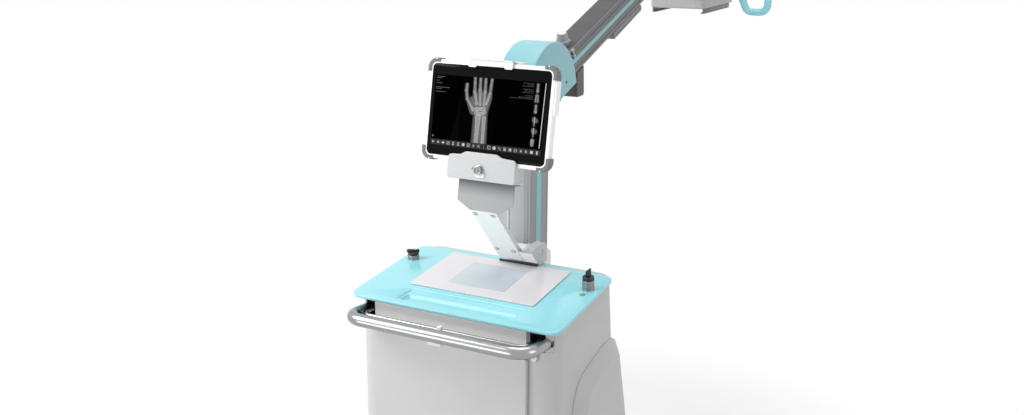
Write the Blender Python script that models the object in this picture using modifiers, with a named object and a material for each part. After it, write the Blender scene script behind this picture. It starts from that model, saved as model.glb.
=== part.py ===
"""Portable x-ray machine: a wheeled generator cart with a sloping control deck, a column,
a lifting arm with the tube head at its end, and a tablet on a folding bracket.

Machine coordinates, in metres: X to the operator's right, Y away from the operator with 0 at
the deck's front edge, Z above the floor. The empty named machine moves all of it so that the
origin lies on the floor, in the middle of the machine's length.
"""

import math

import bmesh
import bpy
from mathutils import Vector

# Clearances
GAP = 0.0003                  # between touching pieces
RUNNING_GAP = 0.006           # between pieces that pass each other

# Control deck, in its own tilted plane: x across, v up the slope
DECK_HEIGHT = 0.880           # top of the deck's front edge above the floor
DECK_TILT = math.radians(5.0)
DECK_WIDTH = 0.552
DECK_DEPTH = 0.338
DECK_THICK = 0.008
DECK_CORNER = 0.028
DECK_BOW = 0.010              # the back edge bows out by this in the middle
DECK_EDGE = 0.002
TRAY_HALF_WIDTH = DECK_WIDTH / 2 - 0.119
TRAY_FRONT = 0.020
TRAY_BACK = 0.087
TRAY_DEPTH = 0.011
TRAY_WALL = 0.004
TRAY_SLOPE = 0.010            # how far each tray wall leans in on its way down
TOUCH_HALF_WIDTH = DECK_WIDTH / 2 - 0.108
TOUCH_FRONT = 0.105
TOUCH_BACK = DECK_DEPTH - 0.018
TOUCH_THICK = 0.003
TOUCH_CORNER = 0.007
SWITCH_X = DECK_WIDTH / 2 - 0.031
SWITCH_V = 0.247
COLLAR_RADIUS = 0.0145
LEFT_COLLAR_HEIGHT = 0.006
RIGHT_COLLAR_HEIGHT = 0.013
KNOB_RADIUS = 0.012
LEFT_KNOB_HEIGHT = 0.010
RIGHT_KNOB_HEIGHT = 0.010
FIN_HEIGHT = 0.022
FIN_THICK = 0.006
LAMP_V = 0.211
LAMP_RADIUS = 0.004
LAMP_HEIGHT = 0.003

# Housing
HOUSING_HALF_WIDTH = DECK_WIDTH / 2 - 0.011
HOUSING_FRONT = 0.014         # the two front posts
HOUSING_BOTTOM = 0.160
FRONT_CORNER = 0.055
BACK_CORNER = 0.045
BOTTOM_INSET = 0.012
BACK_AT_TOP = DECK_DEPTH + 0.027
BACK_PROFILE = (              # share of the housing's height, and how far back it is there
    (19 / 24, DECK_DEPTH + 0.052),
    (35 / 72, DECK_DEPTH + 0.122),
    (4 / 24, DECK_DEPTH + 0.187),
)
POD_FRONT = 0.112             # the raised side pods over the wheels
POD_BACK_MARGIN = 0.012
POD_TOP = DECK_HEIGHT - 0.134
POD_BOTTOM = HOUSING_BOTTOM + 0.024
POD_RAISE = 0.025
POD_STEP = 0.002              # the pod's edge stands square off the housing by this
POD_SLOPE = 0.037             # width of the sloping band round a pod
POD_CORNER = 0.095

# Front: fascia, detector bin with its tilting door, kick panel
PANEL_HALF_WIDTH = HOUSING_HALF_WIDTH - 0.064
PANEL_FACE = 0.001
FASCIA_BOTTOM = DECK_HEIGHT - 0.088
PANEL_GAP = 0.0055
DOOR_HINGE_HEIGHT = HOUSING_BOTTOM + 0.190
DOOR_BARREL_RADIUS = 0.007
HINGE_PIN_RADIUS = 0.0035
DOOR_CORNER = 0.006
PULL_TAB_X = -0.037
PULL_TAB_WIDTH = 0.036
BIN_HALF_WIDTH = PANEL_HALF_WIDTH - 0.021
BIN_DEPTH = 0.075
BIN_HEIGHT = 0.300
BIN_WALL = 0.003
BIN_CLEARANCE = 0.008
BIN_FLOOR_RISE = 0.022        # above the hinge
KICK_TOP_DROP = 0.025         # below it
LOCK_X = PANEL_HALF_WIDTH + 0.015
LOCK_HEIGHT = DECK_HEIGHT - 0.071
LOCK_RADIUS = 0.008

# Push handle and brake bar
HANDLE_RADIUS = 0.0128
HANDLE_HALF_WIDTH = HOUSING_HALF_WIDTH - 0.030
HANDLE_REACH = 0.072          # the bar's centre in front of the deck's edge
HANDLE_HEIGHT = DECK_HEIGHT - 0.035
HANDLE_RISE = 0.011
HANDLE_BEND = 0.042
HANDLE_SEAT = 0.048           # the legs' ends inside the corner sockets
BRAKE_BAR_RADIUS = 0.004
BRAKE_BAR_HALF_WIDTH = HANDLE_HALF_WIDTH - 0.0225
BRAKE_BAR_REACH = 0.030
BRAKE_BEND = 0.018
CLIP_X = -0.003
CLIP_SIZE = (0.010, 0.014, 0.018)
SOCKET_INNER = HOUSING_HALF_WIDTH - 0.0615
SOCKET_OUTER_ANGLE = math.radians(52.0)
SOCKET_TOP = DECK_HEIGHT - 0.012
SOCKET_BOTTOM = DECK_HEIGHT - 0.058
SOCKET_DEPTH = 0.060

# Chassis, wheels and castors
CHASSIS_HALF_WIDTH = HOUSING_HALF_WIDTH - 0.060
CHASSIS_FRONT = 0.030
CHASSIS_BACK = DECK_DEPTH + 0.262
CHASSIS_BOTTOM = HOUSING_BOTTOM - 0.048
WHEEL_RADIUS = 0.140
WHEEL_WIDTH = 0.045
WHEEL_X = HOUSING_HALF_WIDTH - 0.003
WHEEL_Y = DECK_DEPTH + 0.222
RIM_RADIUS = 0.108
WHEEL_SIDES = 36
HUB_RADIUS = 0.034
AXLE_RADIUS = 0.010
ARCH_CLEARANCE = 0.018
ARCH_INNER = HOUSING_HALF_WIDTH - 0.037
CASTOR_X = HOUSING_HALF_WIDTH - 0.100
CASTOR_Y = 0.085
CASTOR_TRAIL = 0.030
CASTOR_RADIUS = 0.050
CASTOR_WIDTH = 0.028
CASTOR_CHEEK = 0.005
CASTOR_STEM_RADIUS = 0.009

# Column and its socket
COLUMN_HALF_WIDTH = 0.030
COLUMN_FRONT = DECK_DEPTH + 0.019
COLUMN_BACK = COLUMN_FRONT + 0.118
COLUMN_HEAD_REACH = 0.078     # the column ends this far below the pivot
COLUMN_CORNER = 0.004
GROOVE_WIDTH = 0.004
GROOVE_DEPTH = 0.003
GROOVE_FROM_FRONT = 0.012
FOOT_HALF_WIDTH = 0.040
FOOT_FROM_DECK = 0.0015       # behind the middle of the deck's back edge
FOOT_BACK = COLUMN_BACK + 0.008
FOOT_BOTTOM = DECK_HEIGHT - 0.300
FOOT_TOP = DECK_HEIGHT + 0.025
COLUMN_SEAT = FOOT_BOTTOM + 0.020
FOOT_CORNER = 0.012

# Shoulder and arm, the arm in its own line: s along it, n above it
PIVOT_Y = COLUMN_BACK - 0.015
PIVOT_HEIGHT = DECK_HEIGHT + 0.434
ARM_RISE = math.atan(0.3115)
ARM_HALF_WIDTH = 0.040
ARM_DEPTH = 0.084
ARM_OFFSET = 0.024            # the beam's middle above the pivot
ARM_START = 0.118
WRIST_S = 1.0547
ARM_CORNER = 0.006
CHEEK_THICK = 0.008           # each side plate of a fork
BOSS_RADIUS = 0.050
HEAD_BOSS_RADIUS = 0.045
SHOULDER_AXLE_RADIUS = 0.012
COVER_RADIUS = 0.149
COVER_DROP = 0.0075           # its middle, below the pivot
COVER_WALL = 0.0067
COVER_CHORD = -0.027          # the cover's straight lower edge, below the pivot
COVER_REACH_ANGLE = math.radians(165.0)
COVER_EDGE = 0.004
BLOCK_S = 0.180
BLOCK_LENGTH = 0.050          # level when the arm stands as it does at rest
BLOCK_BACK = 0.0278           # its lower back edge, from BLOCK_S
BLOCK_DROP = 0.075
BLOCK_HALF_WIDTH = 0.037
CAP_S = 0.186
CAP_RADIUS = 0.020
CAP_HEIGHT = 0.026
RAIL_START = 0.455
RAIL_END = 0.930
RAIL_DROP = 0.021
RAIL_HALF_WIDTH = 0.034

# Wrist, tilt fork and head
WRIST_BOSS_RADIUS = 0.040
LINK_HALF_WIDTH = 0.0277
LINK_RADIUS = 0.030
WRIST_AXLE_RADIUS = 0.008
LINK_REACH = 0.07516          # from the wrist's axle to the tilt axle
LINK_RISE = 0.03941
TILT_BOSS_RADIUS = 0.034
TILT_BLOCK_LENGTH = 0.055
FLANGE_RADIUS = 0.044
FLANGE_THICK = 0.009
TRUNNION_RADIUS = 0.016
TRUNNION_LENGTH = 0.030
MONOBLOCK_HALF_WIDTH = 0.105
MONOBLOCK_LENGTH = 0.310
MONOBLOCK_RISE = 0.078        # above the roll axis
MONOBLOCK_DROP = 0.094        # and below it
MONOBLOCK_CORNER = 0.026
COLLIMATOR_HALF_WIDTH = 0.095
COLLIMATOR_NEAR = -0.030      # along the roll axis
COLLIMATOR_FAR = 0.330
COLLIMATOR_NECK = 0.010
COLLIMATOR_DEPTH = 0.129
COLLIMATOR_CORNER = 0.014
NECK_HALF_SIZE = 0.070
HEAD_RAIL_X = 0.0895
HEAD_RAIL_NEAR = -0.014
HEAD_RAIL_FAR = 0.294
HEAD_RAIL_WIDTH = 0.011
HEAD_RAIL_DROP = 0.016
LOOP_RADIUS = 0.0125
LOOP_ALONG = 0.170
LOOP_OUTER_X = 0.2615
LOOP_RISE = 0.045
LOOP_DROP = 0.252
LOOP_BEND = 0.027
LOOP_LEG_DROP = 0.130

# Tablet bracket, folding on a barrel along X, and the tablet in its own leaning plane
BARREL_Y = TOUCH_BACK + 0.010
BARREL_HEIGHT = DECK_HEIGHT + 0.062
BARREL_RADIUS = 0.017
BARREL_PIN_RADIUS = 0.009
TABLET_X = 0.0045
LEAF_HALF_WIDTH = 0.0355      # the bracket's inclined arm
LEAF_TOP = (-0.172, 0.141)    # its upper front corner, from the barrel
LEAF_FOOT = (-0.020, -0.0215)
LEAF_THICK = 0.016
LEAF_COVER_THICK = 0.002
GUSSET_BACK = -0.107          # from the barrel
BASE_INNER_X = TABLET_X + LEAF_HALF_WIDTH + 0.0035
BASE_WIDTH = 0.0345
BASE_CAP_WIDTH = 0.014
BASE_BARREL_RADIUS = 0.022
BASE_REACH = 0.032            # its back, behind the barrel
BASE_RISE = 0.028             # its top, above the barrel
BASE_FOOT = 0.0235            # its length on the deck
BASE_PLATE = 0.042            # its front plate, up the line of the bracket's cover
BASE_PLATE_THICK = 0.003
TABLET_LEAN = math.radians(10.6)
TABLET_FOOT = (-0.165, 0.265)  # the glass's lower edge, from the barrel
GLASS_WIDTH = 0.314
GLASS_HEIGHT = 0.218
GLASS_CORNER = 0.012
GLASS_THICK = 0.002
CASE_RIM = 0.010
CASE_THICK = 0.022
CASE_CORNER = 0.020
BUMPER_SIZE = 0.030
BUMPER_PROUD = 0.003
LIP_HALF_WIDTH = 0.0895
LIP_BOTTOM = -0.050
LIP_SIDE_TOP = 0.006
LIP_MIDDLE_TOP = 0.020
LIP_MIDDLE_HALF_WIDTH = 0.041
LIP_STEP = 0.014
LIP_THICK = 0.006
LIP_OFFSET = 0.003
SHELF_THICK = 0.004
SHELF_DEPTH = 0.046
SPINE_HALF_WIDTH = 0.045
SPINE_THICK = 0.006
CLAMP_HALF_WIDTH = 0.058
CLAMP_HOOK_WIDTH = 0.021
CLAMP_HOOK_DROP = 0.014
PLATE_HALF_WIDTH = 0.073
PLATE_BOTTOM = -0.122
PLATE_THICK = 0.004
PLATE_SET_BACK = 0.008        # the plate's face behind the glass's plane
PLATE_CHAMFER = (0.036, 0.020)
HOLDER_LOCK_RADIUS = 0.0115
HOLDER_LOCK_LENGTH = 0.014
HOLDER_LOCK_RISE = -0.022

# Places worked out from the sizes
DECK_RISE = math.tan(DECK_TILT)
FOOT_FRONT = (DECK_DEPTH + DECK_BOW) * math.cos(DECK_TILT) + FOOT_FROM_DECK
FRONT_END = -(HANDLE_REACH + HANDLE_RADIUS)
ARM_TOP_N = ARM_OFFSET + ARM_DEPTH / 2
ARM_BOTTOM_N = ARM_OFFSET - ARM_DEPTH / 2
WRIST_Y = PIVOT_Y + WRIST_S * math.cos(ARM_RISE) - ARM_OFFSET * math.sin(ARM_RISE)
WRIST_HEIGHT = PIVOT_HEIGHT + WRIST_S * math.sin(ARM_RISE) + ARM_OFFSET * math.cos(ARM_RISE)
TILT_Y = WRIST_Y + LINK_REACH
TILT_HEIGHT = WRIST_HEIGHT + LINK_RISE
TILT_BLOCK_END = TILT_Y + TILT_BLOCK_LENGTH
MIDDLE_Y = (FRONT_END + TILT_BLOCK_END + COLLIMATOR_FAR) / 2
COLUMN_TOP = PIVOT_HEIGHT - COLUMN_HEAD_REACH
BIN_FLOOR_HEIGHT = DOOR_HINGE_HEIGHT + BIN_FLOOR_RISE
KICK_TOP = DOOR_HINGE_HEIGHT - KICK_TOP_DROP
DOOR_TOP = FASCIA_BOTTOM - PANEL_GAP
DOOR_BOTTOM = DOOR_HINGE_HEIGHT - DOOR_BARREL_RADIUS

# Ways to lay a flat outline: its thickness runs along Z, along -Y or along X
PLAN = (0.0, 0.0, 0.0)
FACING = (math.pi / 2, 0.0, 0.0)
SIDEWAYS = (math.pi / 2, 0.0, math.pi / 2)
ALONG_X = (0.0, math.pi / 2, 0.0)
ALONG_Y = (math.pi / 2, 0.0, 0.0)
ARC_STEPS = 3


def clear_scene():
    """Remove whatever the opened file holds."""
    for old in list(bpy.data.objects):
        bpy.data.objects.remove(old, do_unlink=True)


def new_collection(name):
    made = bpy.data.collections.new(name)
    bpy.context.scene.collection.children.link(made)
    return made


clear_scene()
PARTS = new_collection("portable_xray_machine")
CUTTERS = new_collection("cutters")


def paint(name, rgb, roughness, metallic=0.0):
    """A plain material from its 0 to 255 colour."""
    made = bpy.data.materials.new(name)
    made.use_nodes = True
    shader = made.node_tree.nodes["Principled BSDF"]
    shader.inputs["Base Color"].default_value = [(c / 255) ** 2.2 for c in rgb] + [1.0]
    shader.inputs["Roughness"].default_value = roughness
    shader.inputs["Metallic"].default_value = metallic
    made.diffuse_color = [(c / 255) ** 2.2 for c in rgb] + [1.0]
    return made


CYAN = paint("cyan_gloss", (165, 230, 240), 0.25)
CYAN_COVER = paint("cyan_satin", (150, 215, 222), 0.4)
BODY_GREY = paint("body_light_grey", (200, 200, 204), 0.45)
PANEL_WHITE = paint("panel_white", (220, 220, 224), 0.35)
WHITE = paint("white", (240, 242, 245), 0.35)
BRIGHT_GREY = paint("bright_grey", (190, 190, 192), 0.4)
ANODISED = paint("anodised_grey", (140, 140, 142), 0.4, 0.6)
DARK_GREY = paint("dark_grey", (90, 88, 86), 0.5)
BLACK = paint("black_plastic", (22, 22, 24), 0.5)
GLASS_BLACK = paint("glass_black", (12, 12, 14), 0.08)
CHROME = paint("chrome", (205, 205, 208), 0.15, 1.0)
STEEL = paint("steel", (150, 152, 155), 0.35, 1.0)
RUBBER = paint("rubber", (30, 30, 32), 0.85)
GREEN = paint("green_lamp", (50, 140, 50), 0.3)


def frame(name, parent, at=(0.0, 0.0, 0.0), turn=(0.0, 0.0, 0.0)):
    """An empty that carries a set of pieces."""
    made = bpy.data.objects.new(name, None)
    PARTS.objects.link(made)
    made.parent = parent
    made.location = at
    made.rotation_euler = turn
    return made


def piece(name, mesh, look, parent, at=(0.0, 0.0, 0.0), turn=(0.0, 0.0, 0.0)):
    """An object of its own in the parts collection."""
    made = bpy.data.objects.new(name, mesh)
    PARTS.objects.link(made)
    mesh.name = name
    mesh.materials.clear()
    mesh.materials.append(look)
    made.parent = parent
    made.location = at
    made.rotation_euler = turn
    mesh.shade_smooth()
    mesh.set_sharp_from_angle(angle=math.radians(32))
    return made


def tool(target, mesh, operation, at=(0.0, 0.0, 0.0), turn=(0.0, 0.0, 0.0)):
    """A hidden shape in the target's parent frame that cuts the target or joins it."""
    made = bpy.data.objects.new(target.name + "_" + operation.lower(), mesh)
    CUTTERS.objects.link(made)
    made.parent = target.parent
    made.location = at
    made.rotation_euler = turn
    made.hide_render = True
    made.display_type = "WIRE"
    step = target.modifiers.new(operation.lower(), "BOOLEAN")
    step.operation = operation
    step.solver = "EXACT"
    step.object = made
    return made


def cut(target, mesh, at=(0.0, 0.0, 0.0), turn=(0.0, 0.0, 0.0)):
    tool(target, mesh, "DIFFERENCE", at, turn)


def join(target, mesh, at=(0.0, 0.0, 0.0), turn=(0.0, 0.0, 0.0)):
    tool(target, mesh, "UNION", at, turn)


def finish_mesh(shape):
    """Close a bmesh and hand it back as mesh data."""
    bmesh.ops.remove_doubles(shape, verts=shape.verts, dist=0.00002)
    bmesh.ops.recalc_face_normals(shape, faces=shape.faces)
    made = bpy.data.meshes.new("shape")
    shape.to_mesh(made)
    shape.free()
    return made


def box(size, edge=0.0, steps=1):
    """A block about its centre, with its edges rounded by edge."""
    shape = bmesh.new()
    bmesh.ops.create_cube(shape, size=1.0)
    bmesh.ops.scale(shape, vec=size, verts=shape.verts)
    if edge:
        bmesh.ops.bevel(shape, geom=shape.edges[:], offset=edge, segments=steps,
                        profile=0.5, affect="EDGES")
    return finish_mesh(shape)


def box_between(low, high, edge=0.0, steps=1):
    """A block between two corners, with its centre."""
    size = [b - a for a, b in zip(low, high)]
    centre = [(a + b) / 2 for a, b in zip(low, high)]
    return box(size, edge, steps), centre


def cylinder(radius, length, sides=24, edge=0.0, steps=1):
    """A round bar along Z about its centre, its two rims rounded by edge."""
    shape = bmesh.new()
    bmesh.ops.create_cone(shape, cap_ends=True, segments=sides, radius1=radius,
                          radius2=radius, depth=length)
    if edge:
        rims = [e for e in shape.edges if abs(e.verts[0].co.z - e.verts[1].co.z) < edge / 10]
        bmesh.ops.bevel(shape, geom=rims, offset=edge, segments=steps, profile=0.5,
                        affect="EDGES")
    return finish_mesh(shape)


def arc(centre, radius, start, end, steps=ARC_STEPS):
    """Points along an arc, its angles in radians."""
    turns = [start + (end - start) * i / steps for i in range(steps + 1)]
    return [(centre[0] + radius * math.cos(a), centre[1] + radius * math.sin(a)) for a in turns]


def bend(before, corner, after, radius, steps=ARC_STEPS):
    """Points of the arc that rounds one corner between two straight runs."""
    back = (before - corner).normalized()
    ahead = (after - corner).normalized()
    half = back.angle(ahead) / 2
    reach = radius / math.tan(half)
    centre = corner + (back + ahead).normalized() * radius / math.sin(half)
    first = corner + back * reach - centre
    last = corner + ahead * reach - centre
    sweep = first.angle(last)
    points = []
    for i in range(steps + 1):
        share = i / steps
        spoke = first * math.sin((1 - share) * sweep) + last * math.sin(share * sweep)
        points.append(centre + spoke / math.sin(sweep))
    return points


def rounded(corners, steps=ARC_STEPS):
    """A closed outline through (x, y, radius) corners."""
    points = []
    for i, (x, y, radius) in enumerate(corners):
        here = Vector((x, y, 0.0))
        if radius == 0:
            points.append((x, y))
            continue
        before = Vector((*corners[i - 1][:2], 0.0))
        after = Vector((*corners[(i + 1) % len(corners)][:2], 0.0))
        points += [(p.x, p.y) for p in bend(before, here, after, radius, steps)]
    return points


def rectangle(left, right, bottom, top, radius, steps=ARC_STEPS):
    return rounded([(left, bottom, radius), (right, bottom, radius), (right, top, radius),
                    (left, top, radius)], steps)


def inset(outline, distance):
    """The outline moved inwards by a distance, corner by corner."""
    count = len(outline)
    turning = sum(outline[i - 1][0] * outline[i][1] - outline[i][0] * outline[i - 1][1]
                  for i in range(count))
    side = 1 if turning > 0 else -1
    points = []
    for i, here in enumerate(outline):
        before = Vector(here) - Vector(outline[i - 1])
        after = Vector(outline[(i + 1) % count]) - Vector(here)
        normals = [Vector((-d.y, d.x)).normalized() * side for d in (before, after)]
        middle = (normals[0] + normals[1]).normalized()
        points.append(tuple(Vector(here) + middle * distance / middle.dot(normals[0])))
    return points


def curve_mesh(curve):
    """The mesh of a curve, its caps welded."""
    drawn = bpy.data.objects.new("drawn", curve)
    bpy.context.scene.collection.objects.link(drawn)
    mesh = bpy.data.meshes.new_from_object(drawn.evaluated_get(
        bpy.context.evaluated_depsgraph_get()))
    bpy.data.objects.remove(drawn, do_unlink=True)
    shape = bmesh.new()
    shape.from_mesh(mesh)
    bpy.data.meshes.remove(mesh)
    return finish_mesh(shape)


def add_line(curve, points, closed):
    line = curve.splines.new("POLY")
    line.points.add(len(points) - 1)
    for knot, point in zip(line.points, points):
        knot.co = (*point, 0.0, 1.0) if len(point) == 2 else (*point, 1.0)
    line.use_cyclic_u = closed


def slab(outlines, thick, edge=0.0, steps=0):
    """A flat plate from one outline, or from an outline and its holes, about its mid plane."""
    curve = bpy.data.curves.new("outline", "CURVE")
    curve.dimensions = "2D"
    curve.fill_mode = "BOTH"
    curve.extrude = thick / 2 - edge
    if edge:
        curve.bevel_depth = edge
        curve.bevel_resolution = steps
        curve.offset = -edge
    for outline in outlines:
        add_line(curve, outline, True)
    return curve_mesh(curve)


def tube(points, radius, resolution=2):
    """A round bar along a path."""
    curve = bpy.data.curves.new("path", "CURVE")
    curve.dimensions = "3D"
    curve.bevel_depth = radius
    curve.bevel_resolution = resolution
    curve.use_fill_caps = True
    add_line(curve, points, False)
    return curve_mesh(curve)


def path(corners, radius, steps=ARC_STEPS):
    """An open path through corners, each rounded by the same radius."""
    knots = [Vector(c) for c in corners]
    points = [knots[0]]
    for before, here, after in zip(knots, knots[1:], knots[2:]):
        points += bend(before, here, after, radius, steps)
    points.append(knots[-1])
    return [tuple(p) for p in points]


def loft(sections):
    """A closed solid through sections that have as many points each."""
    shape = bmesh.new()
    rings = [[shape.verts.new(p) for p in section] for section in sections]
    count = len(rings[0])
    for lower, upper in zip(rings, rings[1:]):
        for i in range(count):
            j = (i + 1) % count
            shape.faces.new((lower[i], lower[j], upper[j], upper[i]))
    bmesh.ops.triangulate(shape, faces=shape.faces)
    shape.faces.new(rings[0])
    shape.faces.new(rings[-1])
    return finish_mesh(shape)


def turned(name, profile, look, parent, at, turn, sides=24, closed=False):
    """A turned piece: its profile of (radius, height) runs down the outer side."""
    mesh = bpy.data.meshes.new(name)
    ends = [(i, i + 1) for i in range(len(profile) - 1)]
    if closed:
        ends.append((len(profile) - 1, 0))
    mesh.from_pydata([(r, 0.0, h) for r, h in profile], ends, [])
    made = piece(name, mesh, look, parent, at, turn)
    screw = made.modifiers.new("turn", "SCREW")
    screw.angle = math.tau
    screw.steps = sides
    screw.render_steps = sides
    screw.use_merge_vertices = True
    screw.merge_threshold = 0.00005
    screw.use_smooth_shade = True
    return made


def deck_underside(y):
    """Height of the deck's underside over a place on the floor."""
    return DECK_HEIGHT + y * DECK_RISE - DECK_THICK / math.cos(DECK_TILT)


def housing_height(share):
    """The height of a share of the housing, from its bottom to the deck's front."""
    return HOUSING_BOTTOM + share * (DECK_HEIGHT - HOUSING_BOTTOM)


def housing_section(height, front, back, half_width, tilted=False):
    """One level outline of the housing, or the sloping one under the deck."""
    outline = rounded([(-half_width, front, FRONT_CORNER), (half_width, front, FRONT_CORNER),
                       (half_width, back, BACK_CORNER), (-half_width, back, BACK_CORNER)])
    if tilted:
        return [(x, y, deck_underside(y) - GAP) for x, y in outline]
    return [(x, y, height) for x, y in outline]


def pod_outline():
    """Side view of a raised pod: Y and height."""
    back_high, back_middle, back_low = [back for _, back in BACK_PROFILE]
    middle, low = [housing_height(share) for share, _ in BACK_PROFILE[1:]]
    return rounded([
        (POD_FRONT, POD_BOTTOM, 0.045),
        (back_low - POD_BACK_MARGIN, POD_BOTTOM, 0.045),
        (back_low - POD_BACK_MARGIN, low, 0.1),
        (back_middle - POD_BACK_MARGIN, middle, 0.1),
        (back_high - POD_BACK_MARGIN, POD_TOP - 0.006, 0.045),
        (BACK_AT_TOP - 0.065, POD_TOP, 0.2),
        (POD_FRONT + 0.012, POD_TOP - 0.038, POD_CORNER),
        (POD_FRONT, POD_TOP - 0.150, 0.1),
    ])


def build_housing(machine):
    """The closed body: lofted shell, side pods, and what is cut into it."""
    levels = [(HOUSING_BOTTOM, BOTTOM_INSET), (HOUSING_BOTTOM + BOTTOM_INSET, 0.0)]
    low_back = BACK_PROFILE[-1][1]
    sections = [housing_section(z, HOUSING_FRONT + i, low_back - i, HOUSING_HALF_WIDTH - i)
                for z, i in levels]
    for share, back in reversed(BACK_PROFILE):
        sections.append(housing_section(housing_height(share), HOUSING_FRONT, back,
                                        HOUSING_HALF_WIDTH))
    sections.append(housing_section(0.0, HOUSING_FRONT, BACK_AT_TOP, HOUSING_HALF_WIDTH, True))
    housing = piece("housing", loft(sections), BODY_GREY, machine)

    outline = pod_outline()
    shoulder = inset(outline, POD_SLOPE)
    inner = HOUSING_HALF_WIDTH - 0.06
    outer = HOUSING_HALF_WIDTH + POD_RAISE
    for side in (-1, 1):
        pod = loft([[(side * inner, y, z) for y, z in outline],
                    [(side * (HOUSING_HALF_WIDTH + POD_STEP), y, z) for y, z in outline],
                    [(side * outer, y, z) for y, z in shoulder]])
        join(housing, pod)
    arch_radius = WHEEL_RADIUS + ARCH_CLEARANCE
    arch_width = 0.1
    for side in (-1, 1):
        cut(housing, cylinder(arch_radius, arch_width, 48),
            (side * (ARCH_INNER + arch_width / 2), WHEEL_Y, WHEEL_RADIUS), ALONG_X)
    cut(housing, *box_between((-FOOT_HALF_WIDTH - GAP, FOOT_FRONT - GAP, FOOT_BOTTOM - GAP),
                              (FOOT_HALF_WIDTH + GAP, FOOT_BACK + 0.2, FOOT_TOP + 0.1)))
    cut(housing, *box_between(
        (-BIN_HALF_WIDTH - BIN_CLEARANCE, HOUSING_FRONT - 0.05, DOOR_BOTTOM - RUNNING_GAP),
        (BIN_HALF_WIDTH + BIN_CLEARANCE, HOUSING_FRONT + BIN_DEPTH + 0.035, DOOR_TOP - 0.012)))
    cut(housing, *box_between(
        (-PANEL_HALF_WIDTH - RUNNING_GAP, HOUSING_FRONT - 0.05, DOOR_BOTTOM - RUNNING_GAP),
        (PANEL_HALF_WIDTH + RUNNING_GAP, HOUSING_FRONT + 2.5 * DOOR_BARREL_RADIUS,
         DOOR_HINGE_HEIGHT + RUNNING_GAP)))
    tray_low = -DECK_THICK - TRAY_DEPTH - TRAY_WALL
    mesh, centre = box_between(
        (-TRAY_HALF_WIDTH - TRAY_WALL - GAP, TRAY_FRONT - TRAY_WALL - GAP, tray_low),
        (TRAY_HALF_WIDTH + TRAY_WALL + GAP, TRAY_BACK + TRAY_WALL + GAP, 0.02))
    place = (centre[0], centre[1] * math.cos(DECK_TILT) - centre[2] * math.sin(DECK_TILT),
             DECK_HEIGHT + centre[1] * math.sin(DECK_TILT) + centre[2] * math.cos(DECK_TILT))
    cut(housing, mesh, place, (DECK_TILT, 0.0, 0.0))
    for side in (-1, 1):
        pocket = socket_outline(side, GAP, 0.02)
        height = SOCKET_TOP - SOCKET_BOTTOM + 2 * GAP
        cut(housing, slab([pocket], height), (0.0, 0.0, (SOCKET_TOP + SOCKET_BOTTOM) / 2))
    cut(housing, cylinder(LOCK_RADIUS + GAP, 0.03), (LOCK_X, HOUSING_FRONT, LOCK_HEIGHT), ALONG_Y)
    return housing


def socket_outline(side, grow=0.0, proud=0.0):
    """Plan of the black insert in a front corner, which follows the corner's arc."""
    centre = (HOUSING_HALF_WIDTH - FRONT_CORNER, HOUSING_FRONT + FRONT_CORNER)
    radius = FRONT_CORNER + proud
    face = arc(centre, radius, -math.pi / 2, -math.pi / 2 + SOCKET_OUTER_ANGLE)
    outer = centre[0] + FRONT_CORNER * math.sin(SOCKET_OUTER_ANGLE) + grow
    inner = SOCKET_INNER - grow
    back = HOUSING_FRONT + SOCKET_DEPTH + grow
    face = [(min(x, outer), y) for x, y in face]
    points = [(inner, centre[1] - radius)] + face + [(outer, back), (inner, back)]
    return [(side * x, y) for x, y in points][::side]


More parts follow.
